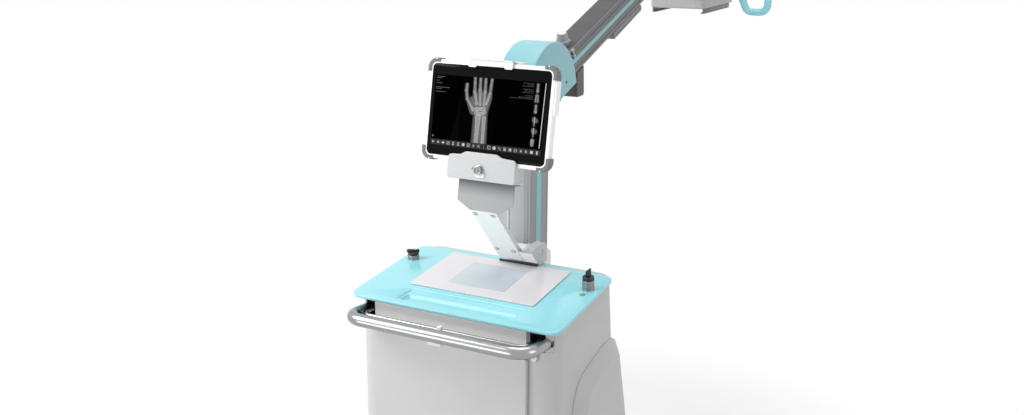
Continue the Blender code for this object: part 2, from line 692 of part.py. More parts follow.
def build_front(machine):
    """Fascia, tilting bin door with its bin, kick panel and lock."""
    back = HOUSING_FRONT - GAP
    thick = back - PANEL_FACE
    middle = (back + PANEL_FACE) / 2
    fascia_top = deck_underside(PANEL_FACE) - GAP
    piece("fascia", slab([rectangle(-PANEL_HALF_WIDTH, PANEL_HALF_WIDTH, FASCIA_BOTTOM,
                                    fascia_top, 0.003)], thick, 0.0012),
          PANEL_WHITE, machine, (0.0, middle, 0.0), FACING)
    kick_bottom = HOUSING_BOTTOM + BOTTOM_INSET
    piece("kick_panel", slab([rectangle(-PANEL_HALF_WIDTH, PANEL_HALF_WIDTH, kick_bottom,
                                        KICK_TOP, DOOR_CORNER)], thick - 0.006, 0.0015),
          PANEL_WHITE, machine, (0.0, middle + 0.003, 0.0), FACING)
    turned("door_lock", [(0.0, 0.011), (0.0055, 0.011), (LOCK_RADIUS - 0.0005, 0.0095),
                         (LOCK_RADIUS, 0.008), (LOCK_RADIUS, -0.012), (0.0, -0.012)],
           STEEL, machine, (LOCK_X, HOUSING_FRONT + 0.0026, LOCK_HEIGHT), ALONG_Y, 28)

    hinge_y = HOUSING_FRONT + DOOR_BARREL_RADIUS * 0.5
    bin_frame = frame("bin_hinge_axis", machine, (0.0, hinge_y, DOOR_HINGE_HEIGHT))
    back_y = back - hinge_y
    face_y = PANEL_FACE - hinge_y
    door_top = DOOR_TOP - DOOR_HINGE_HEIGHT
    barrel_half = BIN_HALF_WIDTH - 0.020
    door = piece("bin_door", slab([rectangle(-PANEL_HALF_WIDTH, PANEL_HALF_WIDTH,
                                             -DOOR_BARREL_RADIUS, door_top, DOOR_CORNER)],
                                  back_y - face_y, 0.0015),
                 PANEL_WHITE, bin_frame, (0.0, (face_y + back_y) / 2, 0.0), FACING)
    join(door, cylinder(DOOR_BARREL_RADIUS, 2 * barrel_half, 24), (0.0, 0.0, 0.0), ALONG_X)
    cut(door, cylinder(HINGE_PIN_RADIUS + GAP, 2 * barrel_half + 0.02, 20), (0.0, 0.0, 0.0),
        ALONG_X)
    tab = rectangle(PULL_TAB_X - PULL_TAB_WIDTH / 2, PULL_TAB_X + PULL_TAB_WIDTH / 2,
                    door_top - 0.012, door_top + 0.0035, 0.003)
    piece("bin_pull_tab", slab([tab], 0.002, 0.0006), CHROME, bin_frame,
          (0.0, face_y - 0.001 - GAP, 0.0), FACING)

    floor = BIN_FLOOR_HEIGHT - DOOR_HINGE_HEIGHT
    bin_front = back_y + GAP
    bin_back = bin_front + BIN_DEPTH
    mesh, centre = box_between((-BIN_HALF_WIDTH, bin_front, floor),
                               (BIN_HALF_WIDTH, bin_back, floor + BIN_HEIGHT))
    tray = piece("bin_tray", mesh, BRIGHT_GREY, bin_frame, centre)
    cut(tray, *box_between((-BIN_HALF_WIDTH + BIN_WALL, bin_front + BIN_WALL, floor + BIN_WALL),
                           (BIN_HALF_WIDTH - BIN_WALL, bin_back - BIN_WALL,
                            floor + BIN_HEIGHT + 0.05)))

    pin_half = BIN_HALF_WIDTH - 0.002
    pin = piece("bin_hinge_pin", cylinder(HINGE_PIN_RADIUS, 2 * pin_half, 20), STEEL, machine,
                (0.0, hinge_y, DOOR_HINGE_HEIGHT), ALONG_X)
    cavity_floor = DOOR_BOTTOM - RUNNING_GAP
    for side in (-1, 1):
        outer = side * pin_half
        inner = side * (barrel_half + 0.002)
        join(pin, *box_between((min(inner, outer), hinge_y + 0.0012, cavity_floor + GAP),
                               (max(inner, outer), hinge_y + 0.009, DOOR_HINGE_HEIGHT + 0.004)))


def build_deck(machine):
    """The cyan deck with its pen tray, the touch panel, the switches and the lamp."""
    deck_frame = frame("deck_plane", machine, (0.0, 0.0, DECK_HEIGHT), (DECK_TILT, 0.0, 0.0))
    half = DECK_WIDTH / 2
    back_line = [(half * (1 - i / 4), DECK_DEPTH + DECK_BOW * (1 - (1 - i / 4) ** 2))
                 for i in range(1, 8)]
    corners = [(-half, 0.0, DECK_CORNER), (half, 0.0, DECK_CORNER),
               (half, DECK_DEPTH, DECK_CORNER)]
    corners += [(x, v, 0.0) for x, v in back_line]
    corners.append((-half, DECK_DEPTH, DECK_CORNER))
    deck = piece("deck", slab([rounded(corners)], DECK_THICK, DECK_EDGE, 1), CYAN, deck_frame,
                 (0.0, 0.0, -DECK_THICK / 2))
    left = -TRAY_HALF_WIDTH
    right = TRAY_HALF_WIDTH
    tray_low = -DECK_THICK - TRAY_DEPTH
    join(deck, *box_between((left - TRAY_WALL, TRAY_FRONT - TRAY_WALL, tray_low),
                            (right + TRAY_WALL, TRAY_BACK + TRAY_WALL, -DECK_THICK / 2)))
    mouth = rounded([(left, TRAY_FRONT, 0.006), (right, TRAY_FRONT, 0.006),
                     (right, TRAY_BACK, 0.006), (left + 0.008, TRAY_BACK, 0.006)])
    bottom = rounded([(left + TRAY_SLOPE, TRAY_FRONT + TRAY_SLOPE * 0.6, 0.006),
                      (right - TRAY_SLOPE, TRAY_FRONT + TRAY_SLOPE * 0.6, 0.006),
                      (right - TRAY_SLOPE, TRAY_BACK - TRAY_SLOPE * 1.6, 0.006),
                      (left + TRAY_SLOPE + 0.008, TRAY_BACK - TRAY_SLOPE * 1.6, 0.006)])
    floor = -TRAY_DEPTH - TRAY_WALL
    rise = 0.001
    cut(deck, loft([[(x, v, floor) for x, v in bottom], [(x, v, rise) for x, v in mouth]]))

    piece("touch_panel", slab([rectangle(-TOUCH_HALF_WIDTH, TOUCH_HALF_WIDTH, TOUCH_FRONT,
                                         TOUCH_BACK, TOUCH_CORNER)], TOUCH_THICK, 0.001),
          WHITE, deck_frame, (0.0, 0.0, TOUCH_THICK / 2 + GAP))

    for name, side, collar, knob in (("left", -1, LEFT_COLLAR_HEIGHT, LEFT_KNOB_HEIGHT),
                                     ("right", 1, RIGHT_COLLAR_HEIGHT, RIGHT_KNOB_HEIGHT)):
        place = (side * SWITCH_X, SWITCH_V, GAP)
        turned("switch_collar_" + name,
               [(0.0, collar), (COLLAR_RADIUS - 0.0025, collar), (COLLAR_RADIUS, collar - 0.0015),
                (COLLAR_RADIUS, 0.0), (0.0, 0.0)], STEEL, deck_frame, place, PLAN, 28)
        rim = KNOB_RADIUS
        top = turned("switch_knob_" + name,
                     [(0.0, knob), (rim - 0.003, knob), (rim - 0.0008, knob - 0.0018),
                      (rim, knob - 0.0045), (rim, 0.0), (0.0, 0.0)],
                     BLACK, deck_frame, (place[0], place[1], 2 * GAP + collar), PLAN, 28)
        if side == 1:
            fin = rounded([(-rim * 0.85, -0.004, 0.001), (rim * 0.85, -0.004, 0.001),
                           (rim * 0.35, FIN_HEIGHT, 0.003), (-rim * 0.45, FIN_HEIGHT - 0.003, 0.003)])
            join(top, slab([fin], FIN_THICK, 0.001),
                 (place[0], place[1], 2 * GAP + collar + knob * 0.6), FACING)
    turned("status_lamp", [(0.0, LAMP_HEIGHT), (LAMP_RADIUS * 0.5, LAMP_HEIGHT * 0.85),
                           (LAMP_RADIUS * 0.9, LAMP_HEIGHT * 0.4), (LAMP_RADIUS, 0.0), (0.0, 0.0)],
           GREEN, deck_frame, (SWITCH_X, LAMP_V, GAP), PLAN, 20)


def build_handle(machine):
    """The chrome push handle, the thin brake bar behind it and their corner sockets."""
    seat = HOUSING_FRONT + HANDLE_SEAT
    low = HANDLE_HEIGHT
    high = HANDLE_HEIGHT + HANDLE_RISE
    x = HANDLE_HALF_WIDTH
    legs = [(-x, seat, low - 0.004), (-x, -HANDLE_REACH, high),
            (x, -HANDLE_REACH, high), (x, seat, low - 0.004)]
    route = path(legs, HANDLE_BEND, 8)
    piece("push_handle", tube(route, HANDLE_RADIUS, 4), CHROME, machine)

    x = BRAKE_BAR_HALF_WIDTH
    level = HANDLE_HEIGHT + 0.006
    brake_seat = HOUSING_FRONT + 0.03
    bar = path([(-x, brake_seat, level), (-x, -BRAKE_BAR_REACH, level),
                (x, -BRAKE_BAR_REACH, level), (x, brake_seat, level)], BRAKE_BEND)
    piece("brake_bar", tube(bar, BRAKE_BAR_RADIUS), STEEL, machine)
    clip = piece("brake_bar_clip", box(CLIP_SIZE, 0.001), WHITE, machine,
                 (CLIP_X, -BRAKE_BAR_REACH, level))
    cut(clip, cylinder(BRAKE_BAR_RADIUS + GAP, 0.05, 20), (CLIP_X, -BRAKE_BAR_REACH, level), ALONG_X)

    handle_bore = tube(route, HANDLE_RADIUS + GAP, 4)
    brake_bore = tube(bar, BRAKE_BAR_RADIUS + GAP)
    height = SOCKET_TOP - SOCKET_BOTTOM
    for name, side in (("left", -1), ("right", 1)):
        made = piece("handle_socket_" + name, slab([socket_outline(side)], height), BLACK, machine,
                     (0.0, 0.0, (SOCKET_TOP + SOCKET_BOTTOM) / 2))
        cut(made, handle_bore)
        cut(made, brake_bore)


def build_chassis(machine):
    """The steel frame under the housing, the wheels' axle, the wheels and the castors."""
    mesh, centre = box_between((-CHASSIS_HALF_WIDTH, CHASSIS_FRONT, CHASSIS_BOTTOM),
                               (CHASSIS_HALF_WIDTH, CHASSIS_BACK, HOUSING_BOTTOM - GAP), 0.004)
    chassis = piece("chassis_frame", mesh, DARK_GREY, machine, centre)
    cut(chassis, cylinder(AXLE_RADIUS + GAP, 0.6, 20), (0.0, WHEEL_Y, WHEEL_RADIUS), ALONG_X)
    half_axle = WHEEL_X + WHEEL_WIDTH / 2
    piece("wheel_axle", cylinder(AXLE_RADIUS, 2 * half_axle, 20, 0.001), STEEL, machine,
          (0.0, WHEEL_Y, WHEEL_RADIUS), ALONG_X)

    half = WHEEL_WIDTH / 2
    tyre_in = RIM_RADIUS + GAP
    shoulder = WHEEL_RADIUS - 0.008
    tyre = [(tyre_in, half - 0.003), (tyre_in + 0.006, half), (shoulder - 0.006, half),
            (shoulder, half - 0.003), (WHEEL_RADIUS, half - 0.014)]
    tyre += [(r, -h) for r, h in reversed(tyre)]
    bore = AXLE_RADIUS + GAP
    rim = [(bore, half - 0.002), (HUB_RADIUS, half - 0.002), (HUB_RADIUS + 0.004, 0.006),
           (RIM_RADIUS - 0.016, 0.005), (RIM_RADIUS - 0.010, half - 0.006),
           (RIM_RADIUS, half - 0.006)]
    rim += [(r, -h) for r, h in reversed(rim)]
    for name, side in (("left", -1), ("right", 1)):
        axis = frame("wheel_axis_" + name, machine, (side * WHEEL_X, WHEEL_Y, WHEEL_RADIUS))
        turned("tyre_" + name, tyre, RUBBER, axis, (0.0, 0.0, 0.0), ALONG_X, WHEEL_SIDES, True)
        turned("rim_" + name, rim, BRIGHT_GREY, axis, (0.0, 0.0, 0.0), ALONG_X, WHEEL_SIDES, True)

    fork_top = CHASSIS_BOTTOM - GAP
    wheel_half = CASTOR_WIDTH / 2
    cheek_in = wheel_half + 0.002
    castor = [(AXLE_RADIUS * 0.5 + GAP, wheel_half + 0.0015), (0.014, wheel_half + 0.0015),
              (0.016, wheel_half - 0.003), (CASTOR_RADIUS - 0.004, wheel_half - 0.001),
              (CASTOR_RADIUS, wheel_half - 0.007)]
    castor += [(r, -h) for r, h in reversed(castor)]
    for name, side in (("left", -1), ("right", 1)):
        swivel = frame("castor_swivel_" + name, machine, (side * CASTOR_X, CASTOR_Y, 0.0))
        stem_top = CHASSIS_BOTTOM + 0.030
        cut(chassis, cylinder(CASTOR_STEM_RADIUS + GAP, 0.064, 16),
            (side * CASTOR_X, CASTOR_Y, CHASSIS_BOTTOM))
        crown = CASTOR_RADIUS + 0.052
        cheek = rounded([(-0.022, crown, 0.002), (0.022, crown, 0.002),
                         (CASTOR_TRAIL + 0.012, CASTOR_RADIUS - 0.012, 0.011),
                         (CASTOR_TRAIL - 0.014, CASTOR_RADIUS - 0.012, 0.011)])
        fork = piece("castor_fork_" + name, cylinder(0.030, fork_top - crown + 0.002, 24), STEEL,
                     swivel, (0.0, 0.0, (fork_top + crown - 0.002) / 2))
        for hand in (-1, 1):
            join(fork, slab([cheek], CASTOR_CHEEK),
                 (hand * (cheek_in + CASTOR_CHEEK / 2), 0.0, 0.0), SIDEWAYS)
        join(fork, cylinder(CASTOR_STEM_RADIUS, stem_top - crown, 16),
             (0.0, 0.0, (stem_top + crown) / 2))
        join(fork, cylinder(AXLE_RADIUS * 0.5, 2 * cheek_in + CASTOR_CHEEK, 16),
             (0.0, CASTOR_TRAIL, CASTOR_RADIUS), ALONG_X)
        roll = frame("castor_axis_" + name, swivel, (0.0, CASTOR_TRAIL, CASTOR_RADIUS))
        turned("castor_wheel_" + name, castor, RUBBER, roll, (0.0, 0.0, 0.0), ALONG_X, 24, True)


def build_column(machine):
    """The column profile, the socket that it stands in and the casting on its top."""
    foot_outline = rectangle(-FOOT_HALF_WIDTH, FOOT_HALF_WIDTH, FOOT_FRONT, FOOT_BACK, FOOT_CORNER)
    foot_height = FOOT_TOP - FOOT_BOTTOM
    foot = piece("column_socket", slab([foot_outline], foot_height, 0.003, 1), BODY_GREY, machine,
                 (0.0, 0.0, (FOOT_TOP + FOOT_BOTTOM) / 2))
    cut(foot, *box_between((-COLUMN_HALF_WIDTH - GAP, COLUMN_FRONT - GAP, COLUMN_SEAT),
                           (COLUMN_HALF_WIDTH + GAP, COLUMN_BACK + GAP, FOOT_TOP + 0.05)))

    x = COLUMN_HALF_WIDTH
    groove = COLUMN_FRONT + GROOVE_FROM_FRONT
    corners = [(-x, COLUMN_FRONT, COLUMN_CORNER), (x, COLUMN_FRONT, COLUMN_CORNER),
               (x, groove, 0.0), (x - GROOVE_DEPTH, groove, 0.0),
               (x - GROOVE_DEPTH, groove + GROOVE_WIDTH, 0.0), (x, groove + GROOVE_WIDTH, 0.0),
               (x, COLUMN_BACK, COLUMN_CORNER), (-x, COLUMN_BACK, COLUMN_CORNER),
               (-x, groove + GROOVE_WIDTH, 0.0), (-x + GROOVE_DEPTH, groove + GROOVE_WIDTH, 0.0),
               (-x + GROOVE_DEPTH, groove, 0.0), (-x, groove, 0.0)]
    height = COLUMN_TOP - COLUMN_SEAT - GAP
    piece("column", slab([rounded(corners, 3)], height), ANODISED, machine,
          (0.0, 0.0, COLUMN_SEAT + GAP + height / 2))

    base = COLUMN_TOP + GAP
    rise = math.asin(0.7)
    shape = [(COLUMN_FRONT, base), (COLUMN_BACK, base), (COLUMN_BACK, base + 0.012)]
    shape += arc((PIVOT_Y, PIVOT_HEIGHT), HEAD_BOSS_RADIUS, -0.35, math.pi + rise, 16)
    shape.append((COLUMN_FRONT, base + 0.012))
    casting = piece("column_head", slab([shape], 2 * COLUMN_HALF_WIDTH, 0.002), DARK_GREY, machine,
                    turn=SIDEWAYS)
    cut(casting, cylinder(SHOULDER_AXLE_RADIUS + GAP, 0.1, 20),
        (0.0, PIVOT_Y, PIVOT_HEIGHT), ALONG_X)


def build_arm(machine):
    """What lifts: cover, fork and beam in the arm's own line, down to the wrist's fork."""
    arm = frame("arm_pivot_axis", machine, (0.0, PIVOT_Y, PIVOT_HEIGHT), (ARM_RISE, 0.0, 0.0))
    cheek_in = ARM_HALF_WIDTH - CHEEK_THICK
    piece("shoulder_axle", cylinder(SHOULDER_AXLE_RADIUS, 2 * ARM_HALF_WIDTH - 0.001, 20), STEEL,
          arm, (0.0, 0.0, 0.0), ALONG_X)

    bottom = ARM_BOTTOM_N
    top = ARM_TOP_N
    root_shape = arc((0.0, 0.0), BOSS_RADIUS, math.radians(70), math.radians(285), 14)
    root_shape += [(ARM_START - GAP, bottom), (ARM_START - GAP, top)]
    root = piece("arm_root", slab([root_shape], 2 * ARM_HALF_WIDTH, 0.002), ANODISED, arm,
                 turn=SIDEWAYS)
    slot_end = BOSS_RADIUS + 0.024
    slot_half = COLUMN_HALF_WIDTH + 0.002
    cut(root, *box_between((-slot_half, -0.2, -0.2), (slot_half, slot_end, 0.2)))
    cut(root, cylinder(SHOULDER_AXLE_RADIUS + GAP, 0.1, 20), (0.0, 0.0, 0.0), ALONG_X)

    cover = piece("shoulder_cover", slab([cover_outline()], 2 * (ARM_HALF_WIDTH + GAP + COVER_WALL),
                                         COVER_EDGE, 1), CYAN_COVER, arm, turn=SIDEWAYS)
    hollow = cover_hollow()
    cut(cover, slab([hollow], 2 * (ARM_HALF_WIDTH + GAP)), turn=SIDEWAYS)

    beam_end = WRIST_S - WRIST_BOSS_RADIUS - 0.012
    beam_outline = rectangle(-ARM_HALF_WIDTH, ARM_HALF_WIDTH, bottom, top, ARM_CORNER, 3)
    length = beam_end - ARM_START
    piece("arm_beam", slab([beam_outline], length), ANODISED, arm,
          (0.0, ARM_START + length / 2, 0.0), FACING)

    knuckle_shape = [(beam_end + GAP, bottom), (WRIST_S, ARM_OFFSET - WRIST_BOSS_RADIUS)]
    knuckle_shape += arc((WRIST_S, ARM_OFFSET), WRIST_BOSS_RADIUS, -math.pi / 2, math.pi / 2, 12)
    knuckle_shape.append((beam_end + GAP, top))
    knuckle = piece("arm_knuckle", slab([knuckle_shape], 2 * ARM_HALF_WIDTH, 0.002), DARK_GREY,
                    arm, turn=SIDEWAYS)
    link_slot = LINK_HALF_WIDTH + GAP
    cut(knuckle, *box_between((-link_slot, WRIST_S - LINK_RADIUS - RUNNING_GAP, bottom - 0.1),
                              (link_slot, WRIST_S + 0.2, top + 0.1)))
    cut(knuckle, cylinder(WRIST_AXLE_RADIUS + GAP, 0.1, 16), (0.0, WRIST_S, ARM_OFFSET), ALONG_X)
    piece("wrist_axle", cylinder(WRIST_AXLE_RADIUS, 2 * ARM_HALF_WIDTH + 0.004, 16, 0.001), STEEL,
          arm, (0.0, WRIST_S, ARM_OFFSET), ALONG_X)

    rail_length = RAIL_END - RAIL_START
    piece("arm_rail", box((2 * RAIL_HALF_WIDTH, rail_length, RAIL_DROP), 0.003), BRIGHT_GREY, arm,
          (0.0, (RAIL_START + RAIL_END) / 2, bottom - GAP - RAIL_DROP / 2))
    level = Vector((math.cos(ARM_RISE), -math.sin(ARM_RISE)))
    low_back = Vector((BLOCK_BACK, -BLOCK_DROP))
    low_front = low_back - level * BLOCK_LENGTH
    slope = math.tan(ARM_RISE)
    block_shape = rounded([(low_front.x - low_front.y * slope, 0.0, 0.0), (*low_front, 0.004),
                           (*low_back, 0.004), (low_back.x - low_back.y * slope * 0.8, 0.0, 0.0)])
    piece("spring_housing", slab([block_shape], 2 * BLOCK_HALF_WIDTH, 0.002), DARK_GREY, arm,
          (0.0, BLOCK_S, bottom - GAP), SIDEWAYS)
    turned("arm_cap_knob", [(0.0, CAP_HEIGHT), (CAP_RADIUS - 0.005, CAP_HEIGHT),
                            (CAP_RADIUS - 0.0015, CAP_HEIGHT - 0.0015), (CAP_RADIUS, CAP_HEIGHT - 0.005),
                            (CAP_RADIUS, 0.0), (0.0, 0.0)],
           BRIGHT_GREY, arm, (0.0, CAP_S, top + GAP), PLAN, 28)


def cover_outline():
    """Side view of the shoulder cover: a disc with a straight lower edge."""
    start = math.asin((COVER_CHORD + COVER_DROP) / COVER_RADIUS)
    return arc((0.0, -COVER_DROP), COVER_RADIUS, start, math.pi - start, 36)


def cover_hollow():
    """What is taken out between the cover's cheeks: open below, at the beam and at the column."""
    inner = COVER_RADIUS - COVER_WALL
    beam_clear = ARM_TOP_N + GAP
    meet = math.asin((beam_clear + COVER_DROP) / inner)
    reach = 2 * COVER_RADIUS
    points = [(reach, -reach), (reach, beam_clear), (inner * math.cos(meet), beam_clear)]
    points += arc((0.0, -COVER_DROP), inner, meet, COVER_REACH_ANGLE, 24)[1:]
    slot_height = inner * math.sin(COVER_REACH_ANGLE) - COVER_DROP
    points += [(-reach, slot_height), (-reach, -reach)]
    return points


def build_wrist(machine):
    """The levelled link between the arm's end and the tilt fork."""
    link_frame = frame("wrist_axis", machine, (0.0, WRIST_Y, WRIST_HEIGHT))
    run = Vector((TILT_Y - WRIST_Y, TILT_HEIGHT - WRIST_HEIGHT))
    along = math.atan2(run.y, run.x)
    far = (run.x, run.y)
    shape = arc((0.0, 0.0), LINK_RADIUS, along + math.pi / 2, along + 1.5 * math.pi, 10)
    shape += arc(far, LINK_RADIUS, along - math.pi / 2, along + math.pi / 2, 10)
    link = piece("wrist_link", slab([shape], 2 * LINK_HALF_WIDTH, 0.002), DARK_GREY, link_frame,
                 turn=SIDEWAYS)
    bore = WRIST_AXLE_RADIUS + GAP
    cut(link, cylinder(bore, 0.1, 16), (0.0, 0.0, 0.0), ALONG_X)
    cut(link, cylinder(bore, 0.1, 16), (0.0, *far), ALONG_X)


def build_tilt(machine):
    """The fork that tilts the head, with its axle and the trunnion that the head rolls on."""
    tilt = frame("tilt_axis", machine, (0.0, TILT_Y, TILT_HEIGHT))
    end = TILT_BLOCK_END - TILT_Y
    shape = arc((0.0, 0.0), TILT_BOSS_RADIUS, math.pi / 2, 1.5 * math.pi, 10)
    shape += [(end, -TILT_BOSS_RADIUS - 0.004), (end, TILT_BOSS_RADIUS + 0.004)]
    fork = piece("tilt_fork", slab([shape], 2 * ARM_HALF_WIDTH, 0.002), DARK_GREY, tilt,
                 turn=SIDEWAYS)
    slot = LINK_HALF_WIDTH + GAP
    cut(fork, *box_between((-slot, -0.2, -0.1), (slot, LINK_RADIUS + RUNNING_GAP, 0.1)))
    cut(fork, cylinder(WRIST_AXLE_RADIUS + GAP, 0.1, 16), (0.0, 0.0, 0.0), ALONG_X)
    flange_middle = end + FLANGE_THICK / 2 - 0.001
    join(fork, cylinder(FLANGE_RADIUS, FLANGE_THICK + 0.002, 28), (0.0, flange_middle, 0.0), ALONG_Y)
    pin_middle = end + FLANGE_THICK + TRUNNION_LENGTH / 2
    join(fork, cylinder(TRUNNION_RADIUS, TRUNNION_LENGTH, 20), (0.0, pin_middle, 0.0), ALONG_Y)
    piece("tilt_axle", cylinder(WRIST_AXLE_RADIUS, 2 * ARM_HALF_WIDTH + 0.004, 16, 0.001), STEEL,
          tilt, (0.0, 0.0, 0.0), ALONG_X)


def build_head(machine):
    """The tube head: generator block, collimator, accessory rails and the loop handle."""
    head = frame("roll_axis", machine, (0.0, TILT_BLOCK_END, TILT_HEIGHT))
    front = FLANGE_THICK + GAP
    back = MONOBLOCK_LENGTH
    low = -MONOBLOCK_DROP
    high = MONOBLOCK_RISE
    outline = rectangle(-MONOBLOCK_HALF_WIDTH, MONOBLOCK_HALF_WIDTH, low, high, MONOBLOCK_CORNER)
    block = piece("monoblock", slab([outline], back - front, 0.006, 1), PANEL_WHITE, head,
                  (0.0, (front + back) / 2, 0.0), FACING)
    cut(block, cylinder(TRUNNION_RADIUS + GAP, 2 * TRUNNION_LENGTH + 0.004, 20),
        (0.0, front, 0.0), ALONG_Y)

    top = low - COLLIMATOR_NECK
    bottom = top - COLLIMATOR_DEPTH
    near = COLLIMATOR_NEAR
    far = COLLIMATOR_FAR
    plan = rectangle(-COLLIMATOR_HALF_WIDTH, COLLIMATOR_HALF_WIDTH, near, far, COLLIMATOR_CORNER)
    collimator = piece("collimator", slab([plan], top - bottom, 0.005, 1), PANEL_WHITE, head,
                       (0.0, 0.0, (top + bottom) / 2))
    middle = (near + far) / 2
    neck = low - top
    join(collimator, box((2 * NECK_HALF_SIZE, 2 * NECK_HALF_SIZE, neck - GAP + 0.004)),
         (0.0, middle, top + (neck - GAP) / 2 - 0.002))
    window = 0.055
    cut(collimator, box((2 * window, 2 * window, 0.012)), (0.0, middle, bottom))

    rail_front = HEAD_RAIL_NEAR
    rail_back = HEAD_RAIL_FAR
    for name, side in (("left", -1), ("right", 1)):
        web = -0.0035 * side
        lip = HEAD_RAIL_DROP
        width = HEAD_RAIL_WIDTH / 2
        profile = [(-width, 0.0), (-width, -lip), (width, -lip), (width, -lip + 0.004),
                   (-width + 0.005, -lip + 0.004), (-width + 0.005, 0.0)]
        profile = [(-side * x, z) for x, z in profile][::-side]
        piece("head_rail_" + name, slab([profile], rail_back - rail_front), ANODISED, head,
              (side * HEAD_RAIL_X + web, (rail_front + rail_back) / 2, bottom - GAP), FACING)

    y = LOOP_ALONG
    inside = MONOBLOCK_HALF_WIDTH - 0.020
    low_inside = COLLIMATOR_HALF_WIDTH - 0.020
    loop_top = LOOP_RISE
    loop_bottom = -LOOP_DROP
    leg = -LOOP_LEG_DROP
    route = path([(inside, y, loop_top), (LOOP_OUTER_X, y, loop_top), (LOOP_OUTER_X, y, loop_bottom),
                  (0.190, y, loop_bottom), (0.140, y, leg), (low_inside, y, leg)], LOOP_BEND)
    piece("loop_handle", tube(route, LOOP_RADIUS, 3), CYAN, head)
    bore = tube(route, LOOP_RADIUS + GAP, 3)
    cut(block, bore)
    cut(collimator, bore)


def from_barrel(rise, out):
    """A point of the tablet's plane, up it and out of it, seen from the side at the barrel."""
    y = TABLET_FOOT[0] + rise * math.sin(TABLET_LEAN) - out * math.cos(TABLET_LEAN)
    z = TABLET_FOOT[1] + rise * math.cos(TABLET_LEAN) + out * math.sin(TABLET_LEAN)
    return (y, z)


